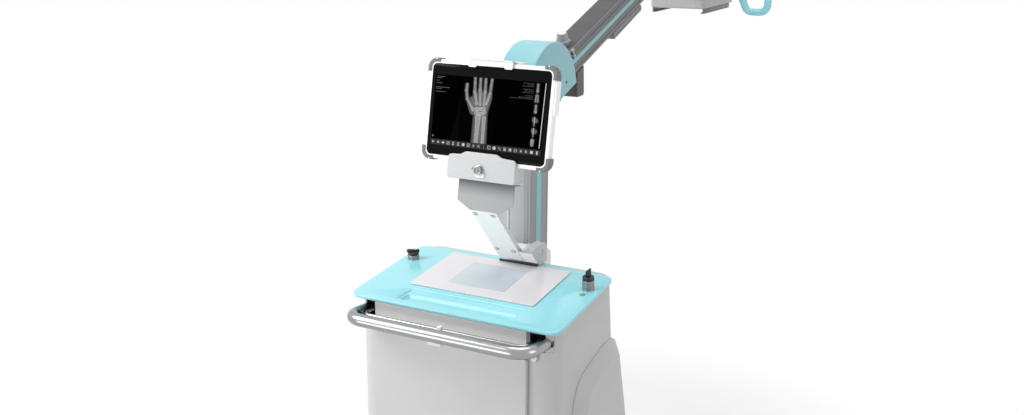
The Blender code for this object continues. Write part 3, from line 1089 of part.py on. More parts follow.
def build_tablet(machine):
    """The folding bracket on the deck and the tablet in its holder."""
    axis_height = BARREL_HEIGHT
    top = Vector(LEAF_TOP)
    low = Vector(LEAF_FOOT)
    along = (top - low).normalized()
    inward = Vector((along.y, -along.x))

    foot_front = TOUCH_BACK + 2 * GAP - BARREL_Y
    foot_back = foot_front + BASE_FOOT
    seat_front = DECK_HEIGHT - axis_height + (BARREL_Y + foot_front) * DECK_RISE + 2 * GAP
    seat_back = DECK_HEIGHT - axis_height + (BARREL_Y + foot_back) * DECK_RISE + 2 * GAP
    over_touch = (foot_front, seat_front + TOUCH_THICK + 0.004)
    seat = [over_touch, (foot_front, seat_front), (foot_back, seat_back)]
    plate_top = low + along * BASE_PLATE
    plate_back = inward * BASE_PLATE_THICK
    web = [*seat, *arc((0.0, 0.0), BASE_BARREL_RADIUS, math.radians(-55), math.radians(190), 14),
           tuple(low + along * 0.012 + plate_back), tuple(plate_top + plate_back),
           tuple(plate_top), tuple(low)]
    cap = rounded([(*point, 0.0) for point in seat]
                  + [(BASE_REACH, seat_back + 0.004, 0.003), (BASE_REACH, BASE_RISE, 0.016),
                     (plate_top.x + 0.006, BASE_RISE - 0.002, 0.008), (*plate_top, 0.0),
                     (*low, 0.0)], 4)
    base_outer = BASE_INNER_X + BASE_WIDTH
    cap_middle = base_outer - BASE_CAP_WIDTH / 2
    base = piece("tablet_hinge_base", slab([cap], BASE_CAP_WIDTH, 0.002, 1), BRIGHT_GREY, machine,
                 (cap_middle, BARREL_Y, axis_height), SIDEWAYS)
    join(base, slab([web], BASE_WIDTH - BASE_CAP_WIDTH + 0.003),
         (BASE_INNER_X + (BASE_WIDTH - BASE_CAP_WIDTH + 0.003) / 2, BARREL_Y, axis_height), SIDEWAYS)
    pin_end = TABLET_X - LEAF_HALF_WIDTH - 0.003
    pin_start = BASE_INNER_X + 0.010
    join(base, cylinder(BARREL_PIN_RADIUS, pin_start - pin_end, 16),
         ((pin_start + pin_end) / 2, BARREL_Y, axis_height), ALONG_X)

    fold = frame("tablet_fold_axis", machine, (TABLET_X, BARREL_Y, BARREL_HEIGHT))
    skin = inward * (LEAF_COVER_THICK + GAP)
    back = inward * LEAF_THICK
    gusset = GUSSET_BACK
    corner_z = low.y + (low.x - gusset) * (top.y - low.y) / (low.x - top.x)
    seat_z = -PLATE_SET_BACK - PLATE_THICK - GAP
    seat_y = LIP_BOTTOM - SHELF_THICK - 2 * GAP
    neck = [from_barrel(seat_y, LIP_OFFSET - SHELF_DEPTH), from_barrel(seat_y, seat_z),
            from_barrel(PLATE_BOTTOM + 0.002, seat_z)]
    leaf_shape = [tuple(low + skin), tuple(low + back), (gusset, corner_z + 0.020),
                  (gusset, top.y + 0.030), *neck, tuple(top + skin)]
    leaf = piece("tablet_arm", slab([leaf_shape], 2 * LEAF_HALF_WIDTH, 0.001), BRIGHT_GREY, fold,
                 turn=SIDEWAYS)
    join(leaf, cylinder(BARREL_RADIUS, 2 * LEAF_HALF_WIDTH, 28), (0.0, 0.0, 0.0), ALONG_X)
    cut(leaf, cylinder(BARREL_PIN_RADIUS + GAP, 0.1, 16), (0.0, 0.0, 0.0), ALONG_X)
    cover_shape = [tuple(low), tuple(low + inward * LEAF_COVER_THICK),
                   tuple(top + inward * LEAF_COVER_THICK), tuple(top)]
    piece("tablet_arm_cover", slab([cover_shape], 2 * LEAF_HALF_WIDTH + 0.001), WHITE, fold,
          turn=SIDEWAYS)

    lean = (math.pi / 2 - TABLET_LEAN, 0.0, 0.0)
    tablet = frame("tablet_plane", fold, (0.0, *TABLET_FOOT), lean)
    half = GLASS_WIDTH / 2
    case_low = -CASE_RIM
    case_high = GLASS_HEIGHT + CASE_RIM
    case_half = half + CASE_RIM
    case_outline = rectangle(-case_half, case_half, case_low, case_high, CASE_CORNER)
    case = piece("tablet_case", slab([case_outline], CASE_THICK, 0.003, 1), WHITE, tablet,
                 (0.0, 0.0, -CASE_THICK / 2))
    for x_side in (-1, 1):
        for y_place in (case_low, case_high):
            centre = (x_side * (case_half - BUMPER_SIZE / 2 + BUMPER_PROUD),
                      y_place + (BUMPER_SIZE / 2 - BUMPER_PROUD) * (1 if y_place < 0 else -1))
            bumper = rectangle(centre[0] - BUMPER_SIZE / 2, centre[0] + BUMPER_SIZE / 2,
                               centre[1] - BUMPER_SIZE / 2, centre[1] + BUMPER_SIZE / 2, 0.010)
            join(case, slab([bumper], CASE_THICK + 0.003, 0.003), (0.0, 0.0, -CASE_THICK / 2))
    pocket = rectangle(-half - GAP, half + GAP, -GAP, GLASS_HEIGHT + GAP, GLASS_CORNER)
    cut(case, slab([pocket], 2 * (GLASS_THICK + GAP) + 0.004), (0.0, 0.0, 0.002))
    glass = rectangle(-half, half, 0.0, GLASS_HEIGHT, GLASS_CORNER)
    piece("tablet_glass", slab([glass], GLASS_THICK), GLASS_BLACK, tablet,
          (0.0, 0.0, -GLASS_THICK / 2))

    lip_z = LIP_OFFSET + LIP_THICK / 2
    steps = [(LIP_HALF_WIDTH, LIP_BOTTOM, 0.004), (LIP_HALF_WIDTH, LIP_SIDE_TOP - 0.002, 0.007),
             (LIP_MIDDLE_HALF_WIDTH + LIP_STEP, LIP_SIDE_TOP, 0.004),
             (LIP_MIDDLE_HALF_WIDTH, LIP_MIDDLE_TOP, 0.006)]
    lip_outline = rounded(steps + [(-x, y, r) for x, y, r in reversed(steps)], 4)
    holder = piece("tablet_holder", slab([lip_outline], LIP_THICK, 0.001), WHITE, tablet,
                   (0.0, 0.0, lip_z))
    shelf_back = LIP_OFFSET - SHELF_DEPTH
    join(holder, *box_between((-LIP_HALF_WIDTH + 0.003, LIP_BOTTOM, shelf_back),
                              (LIP_HALF_WIDTH - 0.003, LIP_BOTTOM + SHELF_THICK, LIP_OFFSET + 0.002)))
    case_back = -CASE_THICK - GAP
    clamp_top = case_high + GAP
    join(holder, *box_between((-SPINE_HALF_WIDTH, LIP_BOTTOM + 0.001, case_back - SPINE_THICK),
                              (SPINE_HALF_WIDTH, clamp_top + 0.003, case_back)))
    join(holder, *box_between((-CLAMP_HALF_WIDTH, clamp_top, case_back - SPINE_THICK),
                              (CLAMP_HALF_WIDTH, clamp_top + 0.006, LIP_OFFSET + 0.004), 0.001))
    ledge_top = case_low - GAP
    join(holder, *box_between((-LIP_HALF_WIDTH + 0.004, ledge_top - 0.004, case_back - 0.002),
                              (LIP_HALF_WIDTH - 0.004, ledge_top, LIP_OFFSET + 0.002)))
    for side in (-1, 1):
        edge = side * CLAMP_HALF_WIDTH
        inner = side * (CLAMP_HALF_WIDTH - CLAMP_HOOK_WIDTH)
        hook = rectangle(min(edge, inner), max(edge, inner), clamp_top - CLAMP_HOOK_DROP,
                         clamp_top + 0.006, 0.003)
        join(holder, slab([hook], 0.004), (0.0, 0.0, LIP_OFFSET + 0.002))

    turned("holder_lock", [(0.0, HOLDER_LOCK_LENGTH), (HOLDER_LOCK_RADIUS - 0.002, HOLDER_LOCK_LENGTH),
                           (HOLDER_LOCK_RADIUS, HOLDER_LOCK_LENGTH - 0.002),
                           (HOLDER_LOCK_RADIUS, 0.0), (0.0, 0.0)],
           CHROME, tablet, (-0.008, HOLDER_LOCK_RISE, LIP_OFFSET + LIP_THICK + GAP), PLAN, 32)

    plate_top = LIP_BOTTOM - GAP
    wide, high = PLATE_CHAMFER
    plate_outline = [(PLATE_HALF_WIDTH, plate_top), (PLATE_HALF_WIDTH, PLATE_BOTTOM + high),
                     (PLATE_HALF_WIDTH - wide, PLATE_BOTTOM)]
    plate_outline += [(-x, y) for x, y in reversed(plate_outline)]
    plate = piece("bracket_plate", slab([plate_outline], PLATE_THICK, 0.0008), BRIGHT_GREY, tablet,
                  (0.0, 0.0, -PLATE_SET_BACK - PLATE_THICK / 2))
    join(plate, *box_between((-PLATE_HALF_WIDTH + 0.002, plate_top - SHELF_THICK, shelf_back),
                             (PLATE_HALF_WIDTH - 0.002, plate_top, -PLATE_SET_BACK - 0.001)))


def build():
    machine = frame("machine", None, (0.0, -MIDDLE_Y, 0.0))
    build_chassis(machine)
    build_housing(machine)
    build_front(machine)
    build_deck(machine)
    build_handle(machine)
    build_column(machine)
    build_arm(machine)
    build_wrist(machine)
    build_tilt(machine)
    build_head(machine)
    build_tablet(machine)


build()
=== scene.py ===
"""Looks of the portable x-ray machine: finer surfaces, materials, light and camera."""

import math

import bmesh
import bpy
import numpy as np
from mathutils import Matrix, Vector


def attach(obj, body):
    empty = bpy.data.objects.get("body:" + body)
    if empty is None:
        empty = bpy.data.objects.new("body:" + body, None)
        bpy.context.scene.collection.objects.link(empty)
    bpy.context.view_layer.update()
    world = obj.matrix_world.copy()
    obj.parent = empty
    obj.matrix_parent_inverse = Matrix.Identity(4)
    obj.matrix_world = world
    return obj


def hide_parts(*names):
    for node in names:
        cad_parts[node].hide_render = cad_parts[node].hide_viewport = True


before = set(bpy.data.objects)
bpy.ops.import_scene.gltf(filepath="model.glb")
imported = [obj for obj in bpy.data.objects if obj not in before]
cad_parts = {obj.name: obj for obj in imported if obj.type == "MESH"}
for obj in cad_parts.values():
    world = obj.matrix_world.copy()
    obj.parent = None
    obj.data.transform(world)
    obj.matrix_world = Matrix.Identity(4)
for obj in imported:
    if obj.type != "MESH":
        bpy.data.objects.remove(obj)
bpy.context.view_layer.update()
SCENE = bpy.context.scene

# Sizes repeated from the CAD source, in its machine coordinates
GAP = 0.0003
MIDDLE_Y = 0.9176
DECK_TILT = math.radians(5.0)
ARM_RISE = math.atan(0.3115)
TABLET_LEAN = math.radians(10.6)
PIVOT_Y, PIVOT_HEIGHT = 0.46, 1.314
TABLET_X = 0.0045
FRONT = 0.014                              # the housing's front posts
HALF_WIDTH = 0.265                         # the housing's
DECK_LEVEL, DECK_THICK = 0.88, 0.008      # at the deck's front edge
COVER_CHORD, COVER_DROP = -0.027, 0.0075   # the shoulder cover's lower edge and its middle
LOCK_X, LOCK_LEVEL = 0.216, 0.809
SWITCH_X, SWITCH_Y, LAMP_Y = 0.245, 0.247, 0.211
SOCKET_LEVEL, SOCKET_HIGH = 0.845, 0.046   # the handle's corner sockets
BARREL_Y, BARREL_Z = 0.0175, 0.35         # the bin door's hinge
HINGE_Y, HINGE_Z = 0.33, 0.942            # the tablet arm's hinge
WHEEL_X, WHEEL_Y, WHEEL_RADIUS = 0.262, 0.56, 0.14
CASTOR_X, CASTOR_Y, CASTOR_RADIUS = 0.165, 0.115, 0.05
ARM_START, ARM_END = 0.118, 1.0027         # the arm beam's ends, from the shoulder
SIDES = (("left", -1), ("right", 1))


def move(x=0.0, y=0.0, z=0.0):
    return Matrix.Translation((x, y, z))


def lift(z):
    return move(0, 0, z)


def turn(axis, degrees):
    return Matrix.Rotation(math.radians(degrees), 4, axis)


WORLD = move(0, -MIDDLE_Y, 0)
DECK = WORLD @ lift(DECK_LEVEL) @ Matrix.Rotation(DECK_TILT, 4, "X")
ARM = WORLD @ move(0, PIVOT_Y, PIVOT_HEIGHT) @ Matrix.Rotation(ARM_RISE, 4, "X")
TABLET = WORLD @ move(TABLET_X, 0.165, 1.207) @ Matrix.Rotation(math.pi / 2 - TABLET_LEAN, 4, "X")
HEAD = WORLD @ move(0, 1.59, 1.69)
FACING = turn("X", 90)
SIDEWAYS = turn("Z", 90) @ turn("X", 90)
ALONG_X = turn("Y", 90)
ALONG_Y = turn("X", 90)


# Outlines

def arc(centre, radius, start, end, steps=12):
    turns = [start + (end - start) * i / steps for i in range(steps + 1)]
    return [(centre[0] + radius * math.cos(a), centre[1] + radius * math.sin(a)) for a in turns]


def bend(before, corner, after, radius, steps):
    back = (before - corner).normalized()
    ahead = (after - corner).normalized()
    half = back.angle(ahead) / 2
    centre = corner + (back + ahead).normalized() * radius / math.sin(half)
    first = corner + back * radius / math.tan(half) - centre
    last = corner + ahead * radius / math.tan(half) - centre
    sweep = first.angle(last)
    points = []
    for i in range(steps + 1):
        share = i / steps
        spoke = first * math.sin((1 - share) * sweep) + last * math.sin(share * sweep)
        points.append(centre + spoke / math.sin(sweep))
    return points


def rounded(corners, steps=8):
    points = []
    for i, (x, y, radius) in enumerate(corners):
        if radius == 0:
            points.append((x, y))
            continue
        before = Vector((*corners[i - 1][:2], 0.0))
        after = Vector((*corners[(i + 1) % len(corners)][:2], 0.0))
        points += [(p.x, p.y) for p in bend(before, Vector((x, y, 0.0)), after, radius, steps)]
    return points


def rectangle(left, right, bottom, top, radius, steps=8):
    corners = [(left, bottom), (right, bottom), (right, top), (left, top)]
    return rounded([(x, y, radius) for x, y in corners], steps)


def inset(outline, distance):
    count = len(outline)
    turning = sum(outline[i - 1][0] * outline[i][1] - outline[i][0] * outline[i - 1][1]
                  for i in range(count))
    side = 1 if turning > 0 else -1
    points = []
    for i, here in enumerate(outline):
        before = Vector(here) - Vector(outline[i - 1])
        after = Vector(outline[(i + 1) % count]) - Vector(here)
        normals = [Vector((-d.y, d.x)).normalized() * side for d in (before, after)]
        middle = (normals[0] + normals[1]).normalized()
        points.append(tuple(Vector(here) + middle * distance / middle.dot(normals[0])))
    return points


def path(corners, radius, steps=10):
    knots = [Vector(c) for c in corners]
    radii = radius if isinstance(radius, (list, tuple)) else [radius] * len(knots)
    points = [knots[0]]
    for before, here, after, r in zip(knots, knots[1:], knots[2:], radii):
        points += bend(before, here, after, r, steps)
    points.append(knots[-1])
    return [tuple(p) for p in points]


# Meshes

def finish_mesh(shape, weld=0.00001):
    bmesh.ops.remove_doubles(shape, verts=shape.verts, dist=weld)
    bmesh.ops.recalc_face_normals(shape, faces=shape.faces)
    made = bpy.data.meshes.new("shape")
    shape.to_mesh(made)
    shape.free()
    return made


def curve_mesh(curve):
    drawn = bpy.data.objects.new("drawn", curve)
    SCENE.collection.objects.link(drawn)
    ready = drawn.evaluated_get(bpy.context.evaluated_depsgraph_get())
    mesh = bpy.data.meshes.new_from_object(ready)
    bpy.data.objects.remove(drawn, do_unlink=True)
    bpy.data.curves.remove(curve)
    shape = bmesh.new()
    shape.from_mesh(mesh)
    bpy.data.meshes.remove(mesh)
    return finish_mesh(shape)


def add_line(curve, points, closed):
    line = curve.splines.new("POLY")
    line.points.add(len(points) - 1)
    for knot, point in zip(line.points, points):
        knot.co = (*point, 0.0, 1.0) if len(point) == 2 else (*point, 1.0)
    line.use_cyclic_u = closed


def slab(outlines, thick, edge=0.0008, steps=2):
    """A plate about its mid plane, from one outline and its holes, with rounded edges."""
    curve = bpy.data.curves.new("outline", "CURVE")
    curve.dimensions = "2D"
    curve.fill_mode = "BOTH"
    curve.extrude = thick / 2 - edge
    if edge:
        curve.bevel_depth = edge
        curve.bevel_resolution = steps
        curve.offset = -edge
    for outline in outlines:
        add_line(curve, outline, True)
    return curve_mesh(curve)


def plate(edges, thick, edge=0.0008, steps=2):
    """A slab whose outline is a rectangle: left, right, bottom, top, corner radius, steps."""
    return slab([rectangle(*edges)], thick, edge, steps)


def tube(points, radius, resolution=8):
    curve = bpy.data.curves.new("path", "CURVE")
    curve.dimensions = "3D"
    curve.bevel_depth = radius
    curve.bevel_resolution = resolution
    curve.use_fill_caps = True
    add_line(curve, points, False)
    return curve_mesh(curve)


def loft(sections):
    shape = bmesh.new()
    rings = [[shape.verts.new(p) for p in section] for section in sections]
    count = len(rings[0])
    for lower, upper in zip(rings, rings[1:]):
        for i in range(count):
            j = (i + 1) % count
            shape.faces.new((lower[i], lower[j], upper[j], upper[i]))
    shape.faces.new(rings[0])
    shape.faces.new(rings[-1])
    return finish_mesh(shape)


def revolve(profile, sides=64, closed=False):
    """A turned solid about Z from its profile of (radius, height)."""
    shape = bmesh.new()
    rings = []
    for r, h in profile:
        if r < 1e-6:
            rings.append([shape.verts.new((0, 0, h))])
            continue
        angles = [math.tau * i / sides for i in range(sides)]
        rings.append([shape.verts.new((r * math.cos(a), r * math.sin(a), h)) for a in angles])
    pairs = list(zip(rings, rings[1:]))
    if closed:
        pairs.append((rings[-1], rings[0]))
    for one, two in pairs:
        for i in range(sides):
            j = (i + 1) % sides
            corners = [one[i % len(one)], one[j % len(one)], two[j % len(two)], two[i % len(two)]]
            corners = list(dict.fromkeys(corners))
            if len(corners) > 2:
                shape.faces.new(corners)
    return finish_mesh(shape)


def block(low, high, edge=0.001, steps=2):
    """A block between two corners with rounded edges."""
    shape = bmesh.new()
    bmesh.ops.create_cube(shape, size=1.0)
    size = Vector(high) - Vector(low)
    bmesh.ops.scale(shape, vec=size, verts=shape.verts)
    bmesh.ops.translate(shape, vec=(Vector(high) + Vector(low)) / 2, verts=shape.verts)
    if edge:
        bmesh.ops.bevel(shape, geom=shape.edges[:], offset=edge, segments=steps, profile=0.5,
                        affect="EDGES")
    return finish_mesh(shape)


def rod(radius, length, sides=40, edge=0.0006):
    half = length / 2
    return revolve([(0, half), (radius - edge, half), (radius - edge * 0.3, half - edge * 0.3),
                    (radius, half - edge), (radius, edge - half),
                    (radius - edge * 0.3, edge * 0.3 - half), (radius - edge, -half), (0, -half)],
                   sides)


def at(mesh, *places):
    """The mesh moved by the product of the places."""
    total = Matrix.Identity(4)
    for place in places:
        total = total @ place
    mesh.transform(total)
    return mesh


def gather(meshes):
    """One mesh from several that keep their own shells."""
    shape = bmesh.new()
    for mesh in meshes:
        shape.from_mesh(mesh)
        bpy.data.meshes.remove(mesh)
    made = bpy.data.meshes.new("shape")
    shape.to_mesh(made)
    shape.free()
    return made


def carve(mesh, cuts=(), joins=()):
    """The mesh with other meshes joined to it, then others cut out of it."""
    body = bpy.data.objects.new("carved", mesh)
    SCENE.collection.objects.link(body)
    helpers = []
    for operation, shapes in (("UNION", joins), ("DIFFERENCE", cuts)):
        for other in shapes:
            helper = bpy.data.objects.new("helper", other)
            SCENE.collection.objects.link(helper)
            helpers.append(helper)
            step = body.modifiers.new("step", "BOOLEAN")
            step.operation = operation
            step.solver = "EXACT"
            step.object = helper
    bpy.context.view_layer.update()
    ready = body.evaluated_get(bpy.context.evaluated_depsgraph_get())
    made = bpy.data.meshes.new_from_object(ready)
    for o in helpers + [body]:
        bpy.data.objects.remove(o, do_unlink=True)
    return made


def show(name, mesh, look, body, replaces=(), sharp=32):
    """A piece of the visual model, riding on its body."""
    mesh.name = name
    mesh.materials.clear()
    mesh.materials.append(look)
    for polygon in mesh.polygons:
        polygon.material_index = 0
    mesh.shade_smooth()
    mesh.set_sharp_from_angle(angle=math.radians(sharp))
    made = bpy.data.objects.new(name, mesh)
    SCENE.collection.objects.link(made)
    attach(made, body)
    if replaces:
        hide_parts(*replaces)
    return made


# Materials

def linear(rgb):
    return [((c / 255 + 0.055) / 1.055) ** 2.4 if c > 10 else c / 255 / 12.92 for c in rgb]


class Nodes:
    """A material's node tree, built a node at a time."""

    def __init__(self, name):
        self.look = bpy.data.materials.new(name)
        self.look.use_nodes = True
        self.tree = self.look.node_tree
        self.shader = self.tree.nodes["Principled BSDF"]
        self.output = self.tree.nodes["Material Output"]

    def add(self, kind, inputs=(), **settings):
        made = self.tree.nodes.new("ShaderNode" + kind)
        for key, value in settings.items():
            setattr(made, key, value)
        for key, value in dict(inputs).items():
            self.feed(made, key, value)
        return made

    def feed(self, node, key, value):
        socket = node.inputs[key]
        if isinstance(value, bpy.types.NodeSocket):
            self.tree.links.new(value, socket)
        else:
            socket.default_value = value

    def place(self):
        return self.add("TexCoord").outputs["Object"]

    def noise(self, size, detail=3.0, rough=0.55, scale=(1, 1, 1)):
        where = self.add("Mapping", {"Vector": self.place(), "Scale": scale}).outputs[0]
        return self.add("TexNoise", {"Vector": where, "Scale": size, "Detail": detail,
                                     "Roughness": rough}).outputs["Fac"]

    def span(self, value, low, high, out_low, out_high):
        return self.add("MapRange", {"Value": value, "From Min": low, "From Max": high,
                                     "To Min": out_low, "To Max": out_high}).outputs["Result"]

    def math(self, operation, a, b=0.0):
        return self.add("Math", {0: a, 1: b}, operation=operation).outputs[0]

    def blend(self, share, a, b):
        made = self.add("Mix", data_type="RGBA")
        self.feed(made, 0, share)
        self.feed(made, 6, a)
        self.feed(made, 7, b)
        return made.outputs[2]


def finish(name, rgb, rough, metal=0.0, drift=0.025, patch=7.0, grain=0.0, grain_size=1800.0,
           brushed=None, coat=0.0, wear=0.0, wear_rgb=None, round_edges=0.0, specular=0.5,
           dust=0.0, shade=None):
    """A painted, moulded or metal surface with slow colour drift, fine grain and worn edges.

    shade darkens it from a low to a high level by a share, under a ledge that keeps light off.
    """
    n = Nodes(name)
    base = linear(rgb)
    light = [min(c * (1 + drift), 1.0) for c in base] + [1.0]
    dark = [c * (1 - drift) for c in base] + [1.0]
    slow = n.span(n.noise(patch, 2.0), 0.3, 0.7, 0.0, 1.0)
    colour = n.blend(slow, dark, light)
    if dust:
        settled = n.span(n.noise(28.0, 6.0, 0.7), 0.5, 0.8, 0.0, dust)
        colour = n.blend(settled, colour, [*linear((150, 148, 144)), 1.0])
    roughness = n.span(n.noise(patch * 4, 4.0), 0.3, 0.7, rough * 0.88, min(rough * 1.15, 1.0))
    smooth = None
    if wear or round_edges:
        smooth = n.add("Bevel", {"Radius": max(round_edges, 0.0012)}, samples=4)
    if wear:
        facing = n.add("VectorMath", {0: smooth.outputs[0],
                                      1: n.add("NewGeometry").outputs["Normal"]},
                       operation="DOT_PRODUCT").outputs["Value"]
        edge = n.span(facing, 0.8, 0.97, 1.0, 0.0)
        broken = n.span(n.noise(160.0, 5.0, 0.7), 0.42, 0.62, 0.0, 1.0)
        worn = n.math("MULTIPLY", n.math("MULTIPLY", edge, broken), wear)
        tone = linear(wear_rgb) if wear_rgb else [min(c * 1.35 + 0.02, 1.0) for c in base]
        colour = n.blend(worn, colour, [*tone, 1.0])
    if shade:
        level = n.add("SeparateXYZ", {0: n.place()}).outputs["Z"]
        left = n.span(level, shade[0], shade[1], 1.0, shade[2])
        colour = n.add("VectorMath", {0: colour, "Scale": left}, operation="SCALE").outputs[0]
    n.feed(n.shader, "Base Color", colour)
    n.feed(n.shader, "Roughness", roughness)
    n.feed(n.shader, "Metallic", metal)
    n.feed(n.shader, "Specular IOR Level", specular)
    if coat:
        n.feed(n.shader, "Coat Weight", coat)
        n.feed(n.shader, "Coat Roughness", 0.12)
    normal = smooth.outputs[0] if round_edges else None
    if grain or brushed:
        if brushed:
            height = n.noise(1.0, 3.0, 0.7, brushed)
        else:
            height = n.noise(grain_size, 2.0)
        bump = n.add("Bump", {"Height": height, "Strength": 1.0, "Distance": grain or 0.00002})
        if normal:
            n.feed(bump, "Normal", normal)
        normal = bump.outputs[0]
    if normal:
        n.feed(n.shader, "Normal", normal)
    n.look.diffuse_color = [*base, 1.0]
    return n.look


CYAN = finish("cyan_gloss", (144, 211, 221), 0.24, drift=0.02, grain=0.000012, grain_size=700,
              coat=0.25, wear=0.35, wear_rgb=(225, 248, 250))
CYAN_SATIN = finish("cyan_satin", (130, 184, 191), 0.36, drift=0.02, grain=0.00002,
                    grain_size=900, wear=0.3, wear_rgb=(215, 245, 247))
# A lighter cyan for the tray's beads: painted highlight on their rounded edges.
CYAN_PAINTED_HIGHLIGHT = finish("cyan_painted_highlight", (176, 234, 240), 0.25, drift=0.01, grain=0.00001)
STRIPE = finish("cyan_stripe", (128, 184, 190), 0.4, drift=0.03, grain=0.00001)
BODY = finish("body_light_grey", (188, 187, 188), 0.42, drift=0.018, grain=0.00003, grain_size=850,
              wear=0.25, round_edges=0.0018, dust=0.04)
PANEL = finish("panel_white", (187, 186, 187), 0.36, drift=0.018, grain=0.00003, grain_size=850,
               wear=0.25, dust=0.03)
WHITE = finish("white_plastic", (236, 238, 240), 0.32, drift=0.012, grain=0.000015,
               grain_size=1200, wear=0.1)
TOUCH = finish("touch_panel_white", (212, 210, 212), 0.2, drift=0.01, patch=12, grain=0.000006,
               coat=0.4)
PLATE = finish("pale_blue_plate", (188, 199, 205), 0.22, drift=0.015, patch=18, grain=0.000006)
LIGHT = finish("light_grey", (214, 215, 216), 0.36, drift=0.02, grain=0.00002, wear=0.2)
ANODISED = finish("anodised_grey", (101, 101, 103), 0.42, metal=0.35, drift=0.03, patch=5,
                  brushed=(900, 40, 900), grain=0.00001, wear=0.35, wear_rgb=(205, 205, 208))
EXTRUDED = finish("anodised_column", (140, 140, 142), 0.42, metal=0.35, drift=0.03, patch=5,
                  brushed=(900, 900, 30), grain=0.00001, wear=0.35, wear_rgb=(205, 205, 208))
# A lighter copy of the column's anodised grey: painted light on the faces that the lamps reach.
ANODISED_PAINTED_LIGHT = finish("anodised_painted_light", (182, 183, 184), 0.5, drift=0.02, patch=5,
                     brushed=(900, 900, 30), grain=0.00001)
ARM_TOP = finish("anodised_dark", (78, 77, 78), 0.55, drift=0.03, patch=5, brushed=(900, 40, 900),
                 grain=0.00001, specular=0.2)
DARK = finish("dark_grey", (74, 72, 71), 0.46, drift=0.05, grain=0.00004, grain_size=1100,
              wear=0.4, wear_rgb=(150, 148, 146), round_edges=0.0012)
BLACK = finish("black_plastic", (24, 24, 26), 0.42, drift=0.12, grain=0.00004, grain_size=1500,
               wear=0.4, wear_rgb=(70, 70, 72))
GLASS = finish("glass_black", (11, 11, 12), 0.1, drift=0.04, patch=20, grain=0.000002,
               specular=0.07)
CHROME = finish("chrome", (158, 159, 160), 0.24, metal=1.0, drift=0.03, patch=30,
                brushed=(40, 2600, 2600), grain=0.000004)
BRUSHED = finish("brushed_steel", (150, 151, 152), 0.3, metal=1.0, drift=0.04, patch=40,
                 brushed=(2400, 2400, 90), grain=0.00001)
STEEL = finish("steel", (140, 142, 144), 0.34, metal=1.0, drift=0.05, patch=60, grain=0.00002,
               grain_size=2600, wear=0.4, wear_rgb=(200, 202, 204))
RUBBER = finish("rubber", (34, 34, 36), 0.8, drift=0.12, patch=30, grain=0.0001, grain_size=1500,
                dust=0.22, specular=0.3)
BUMPER = finish("grey_rubber", (114, 114, 116), 0.5, drift=0.05, grain=0.00006, grain_size=1700,
                specular=0.4)
CASE_WHITE = finish("case_white", (251, 251, 251), 0.34, drift=0.008, grain=0.000012,
                    grain_size=1200)
HOLDER = finish("holder_white", (196, 197, 198), 0.38, drift=0.012, grain=0.000015,
                grain_size=1200, wear=0.1)
# The shade argument paints shade into the bracket's colour: painted shade under the holder's lip,
# darkest at the bracket's top.
BRACKET = finish("bracket_grey", (164, 165, 166), 0.42, drift=0.015, grain=0.00002, wear=0.15,
                 shade=(1.118, 1.157, 0.36))
CAP_GREY = finish("cap_grey", (150, 152, 153), 0.3, drift=0.02, grain=0.00002, wear=0.2)
RAIL_GREY = finish("rail_grey", (122, 123, 124), 0.4, drift=0.02, grain=0.00002, wear=0.3)
HEAD_GREY = finish("head_grey", (168, 168, 169), 0.4, drift=0.018, grain=0.00003, grain_size=850)
FOOT = finish("foot_grey", (226, 226, 227), 0.42, drift=0.015, grain=0.00002, wear=0.1)
GREEN = finish("green_lamp", (38, 150, 44), 0.2, drift=0.1, patch=200, coat=0.6)


# Housing

def bolt(radius=0.0042, height=0.0022):
    """A low screw head with a round recess."""
    return revolve([(0, height * 0.4), (radius * 0.45, height * 0.4), (radius * 0.5, height),
                    (radius * 0.85, height), (radius, height * 0.7), (radius, 0), (0, 0)], 36)


def underside(y):
    return DECK_LEVEL + y * math.tan(DECK_TILT) - DECK_THICK / math.cos(DECK_TILT)


BACK_PROFILE = ((0.73, 0.39), (0.51, 0.46), (0.28, 0.525))
POD_FRONT, POD_TOP, POD_BOTTOM, POD_RAISE = 0.112, 0.746, 0.184, 0.025


def back_at(height):
    """The housing's back at a height."""
    points = [(0.16, 0.525)] + [p for p in reversed(BACK_PROFILE)] + [(0.905, 0.365)]
    return float(np.interp(height, [p[0] for p in points], [p[1] for p in points]))


def housing_section(height, front, back, half_width, tilted=False):
    corners = [(-half_width, front, 0.055), (half_width, front, 0.055),
               (half_width, back, 0.045), (-half_width, back, 0.045)]
    outline = rounded(corners, 14)
    return [(x, y, underside(y) - GAP if tilted else height) for x, y in outline]


def pod_outline():
    margin = 0.012
    (top, high), (middle, mid), (low, deep) = BACK_PROFILE
    return rounded([(POD_FRONT, POD_BOTTOM, 0.045), (deep - margin, POD_BOTTOM, 0.045),
                    (deep - margin, low, 0.1), (mid - margin, middle, 0.1),
                    (high - margin, POD_TOP - 0.006, 0.045), (0.3, POD_TOP, 0.2),
                    (POD_FRONT + 0.012, POD_TOP - 0.038, 0.095),
                    (POD_FRONT, POD_TOP - 0.15, 0.1)], 10)


def socket_outline(side, grow=0.0, proud=0.0):
    centre = (HALF_WIDTH - 0.055, FRONT + 0.055)
    radius = 0.055 + proud
    sweep = math.radians(52.0)
    outer = centre[0] + 0.055 * math.sin(sweep) + grow
    inner = 0.2035 - grow
    back = FRONT + 0.06 + grow
    face = arc(centre, radius, -math.pi / 2, -math.pi / 2 + sweep, 12)
    face = [(min(x, outer), y) for x, y in face]
    points = [(inner, centre[1] - radius)] + face + [(outer, back), (inner, back)]
    return [(side * x, y) for x, y in points][::side]


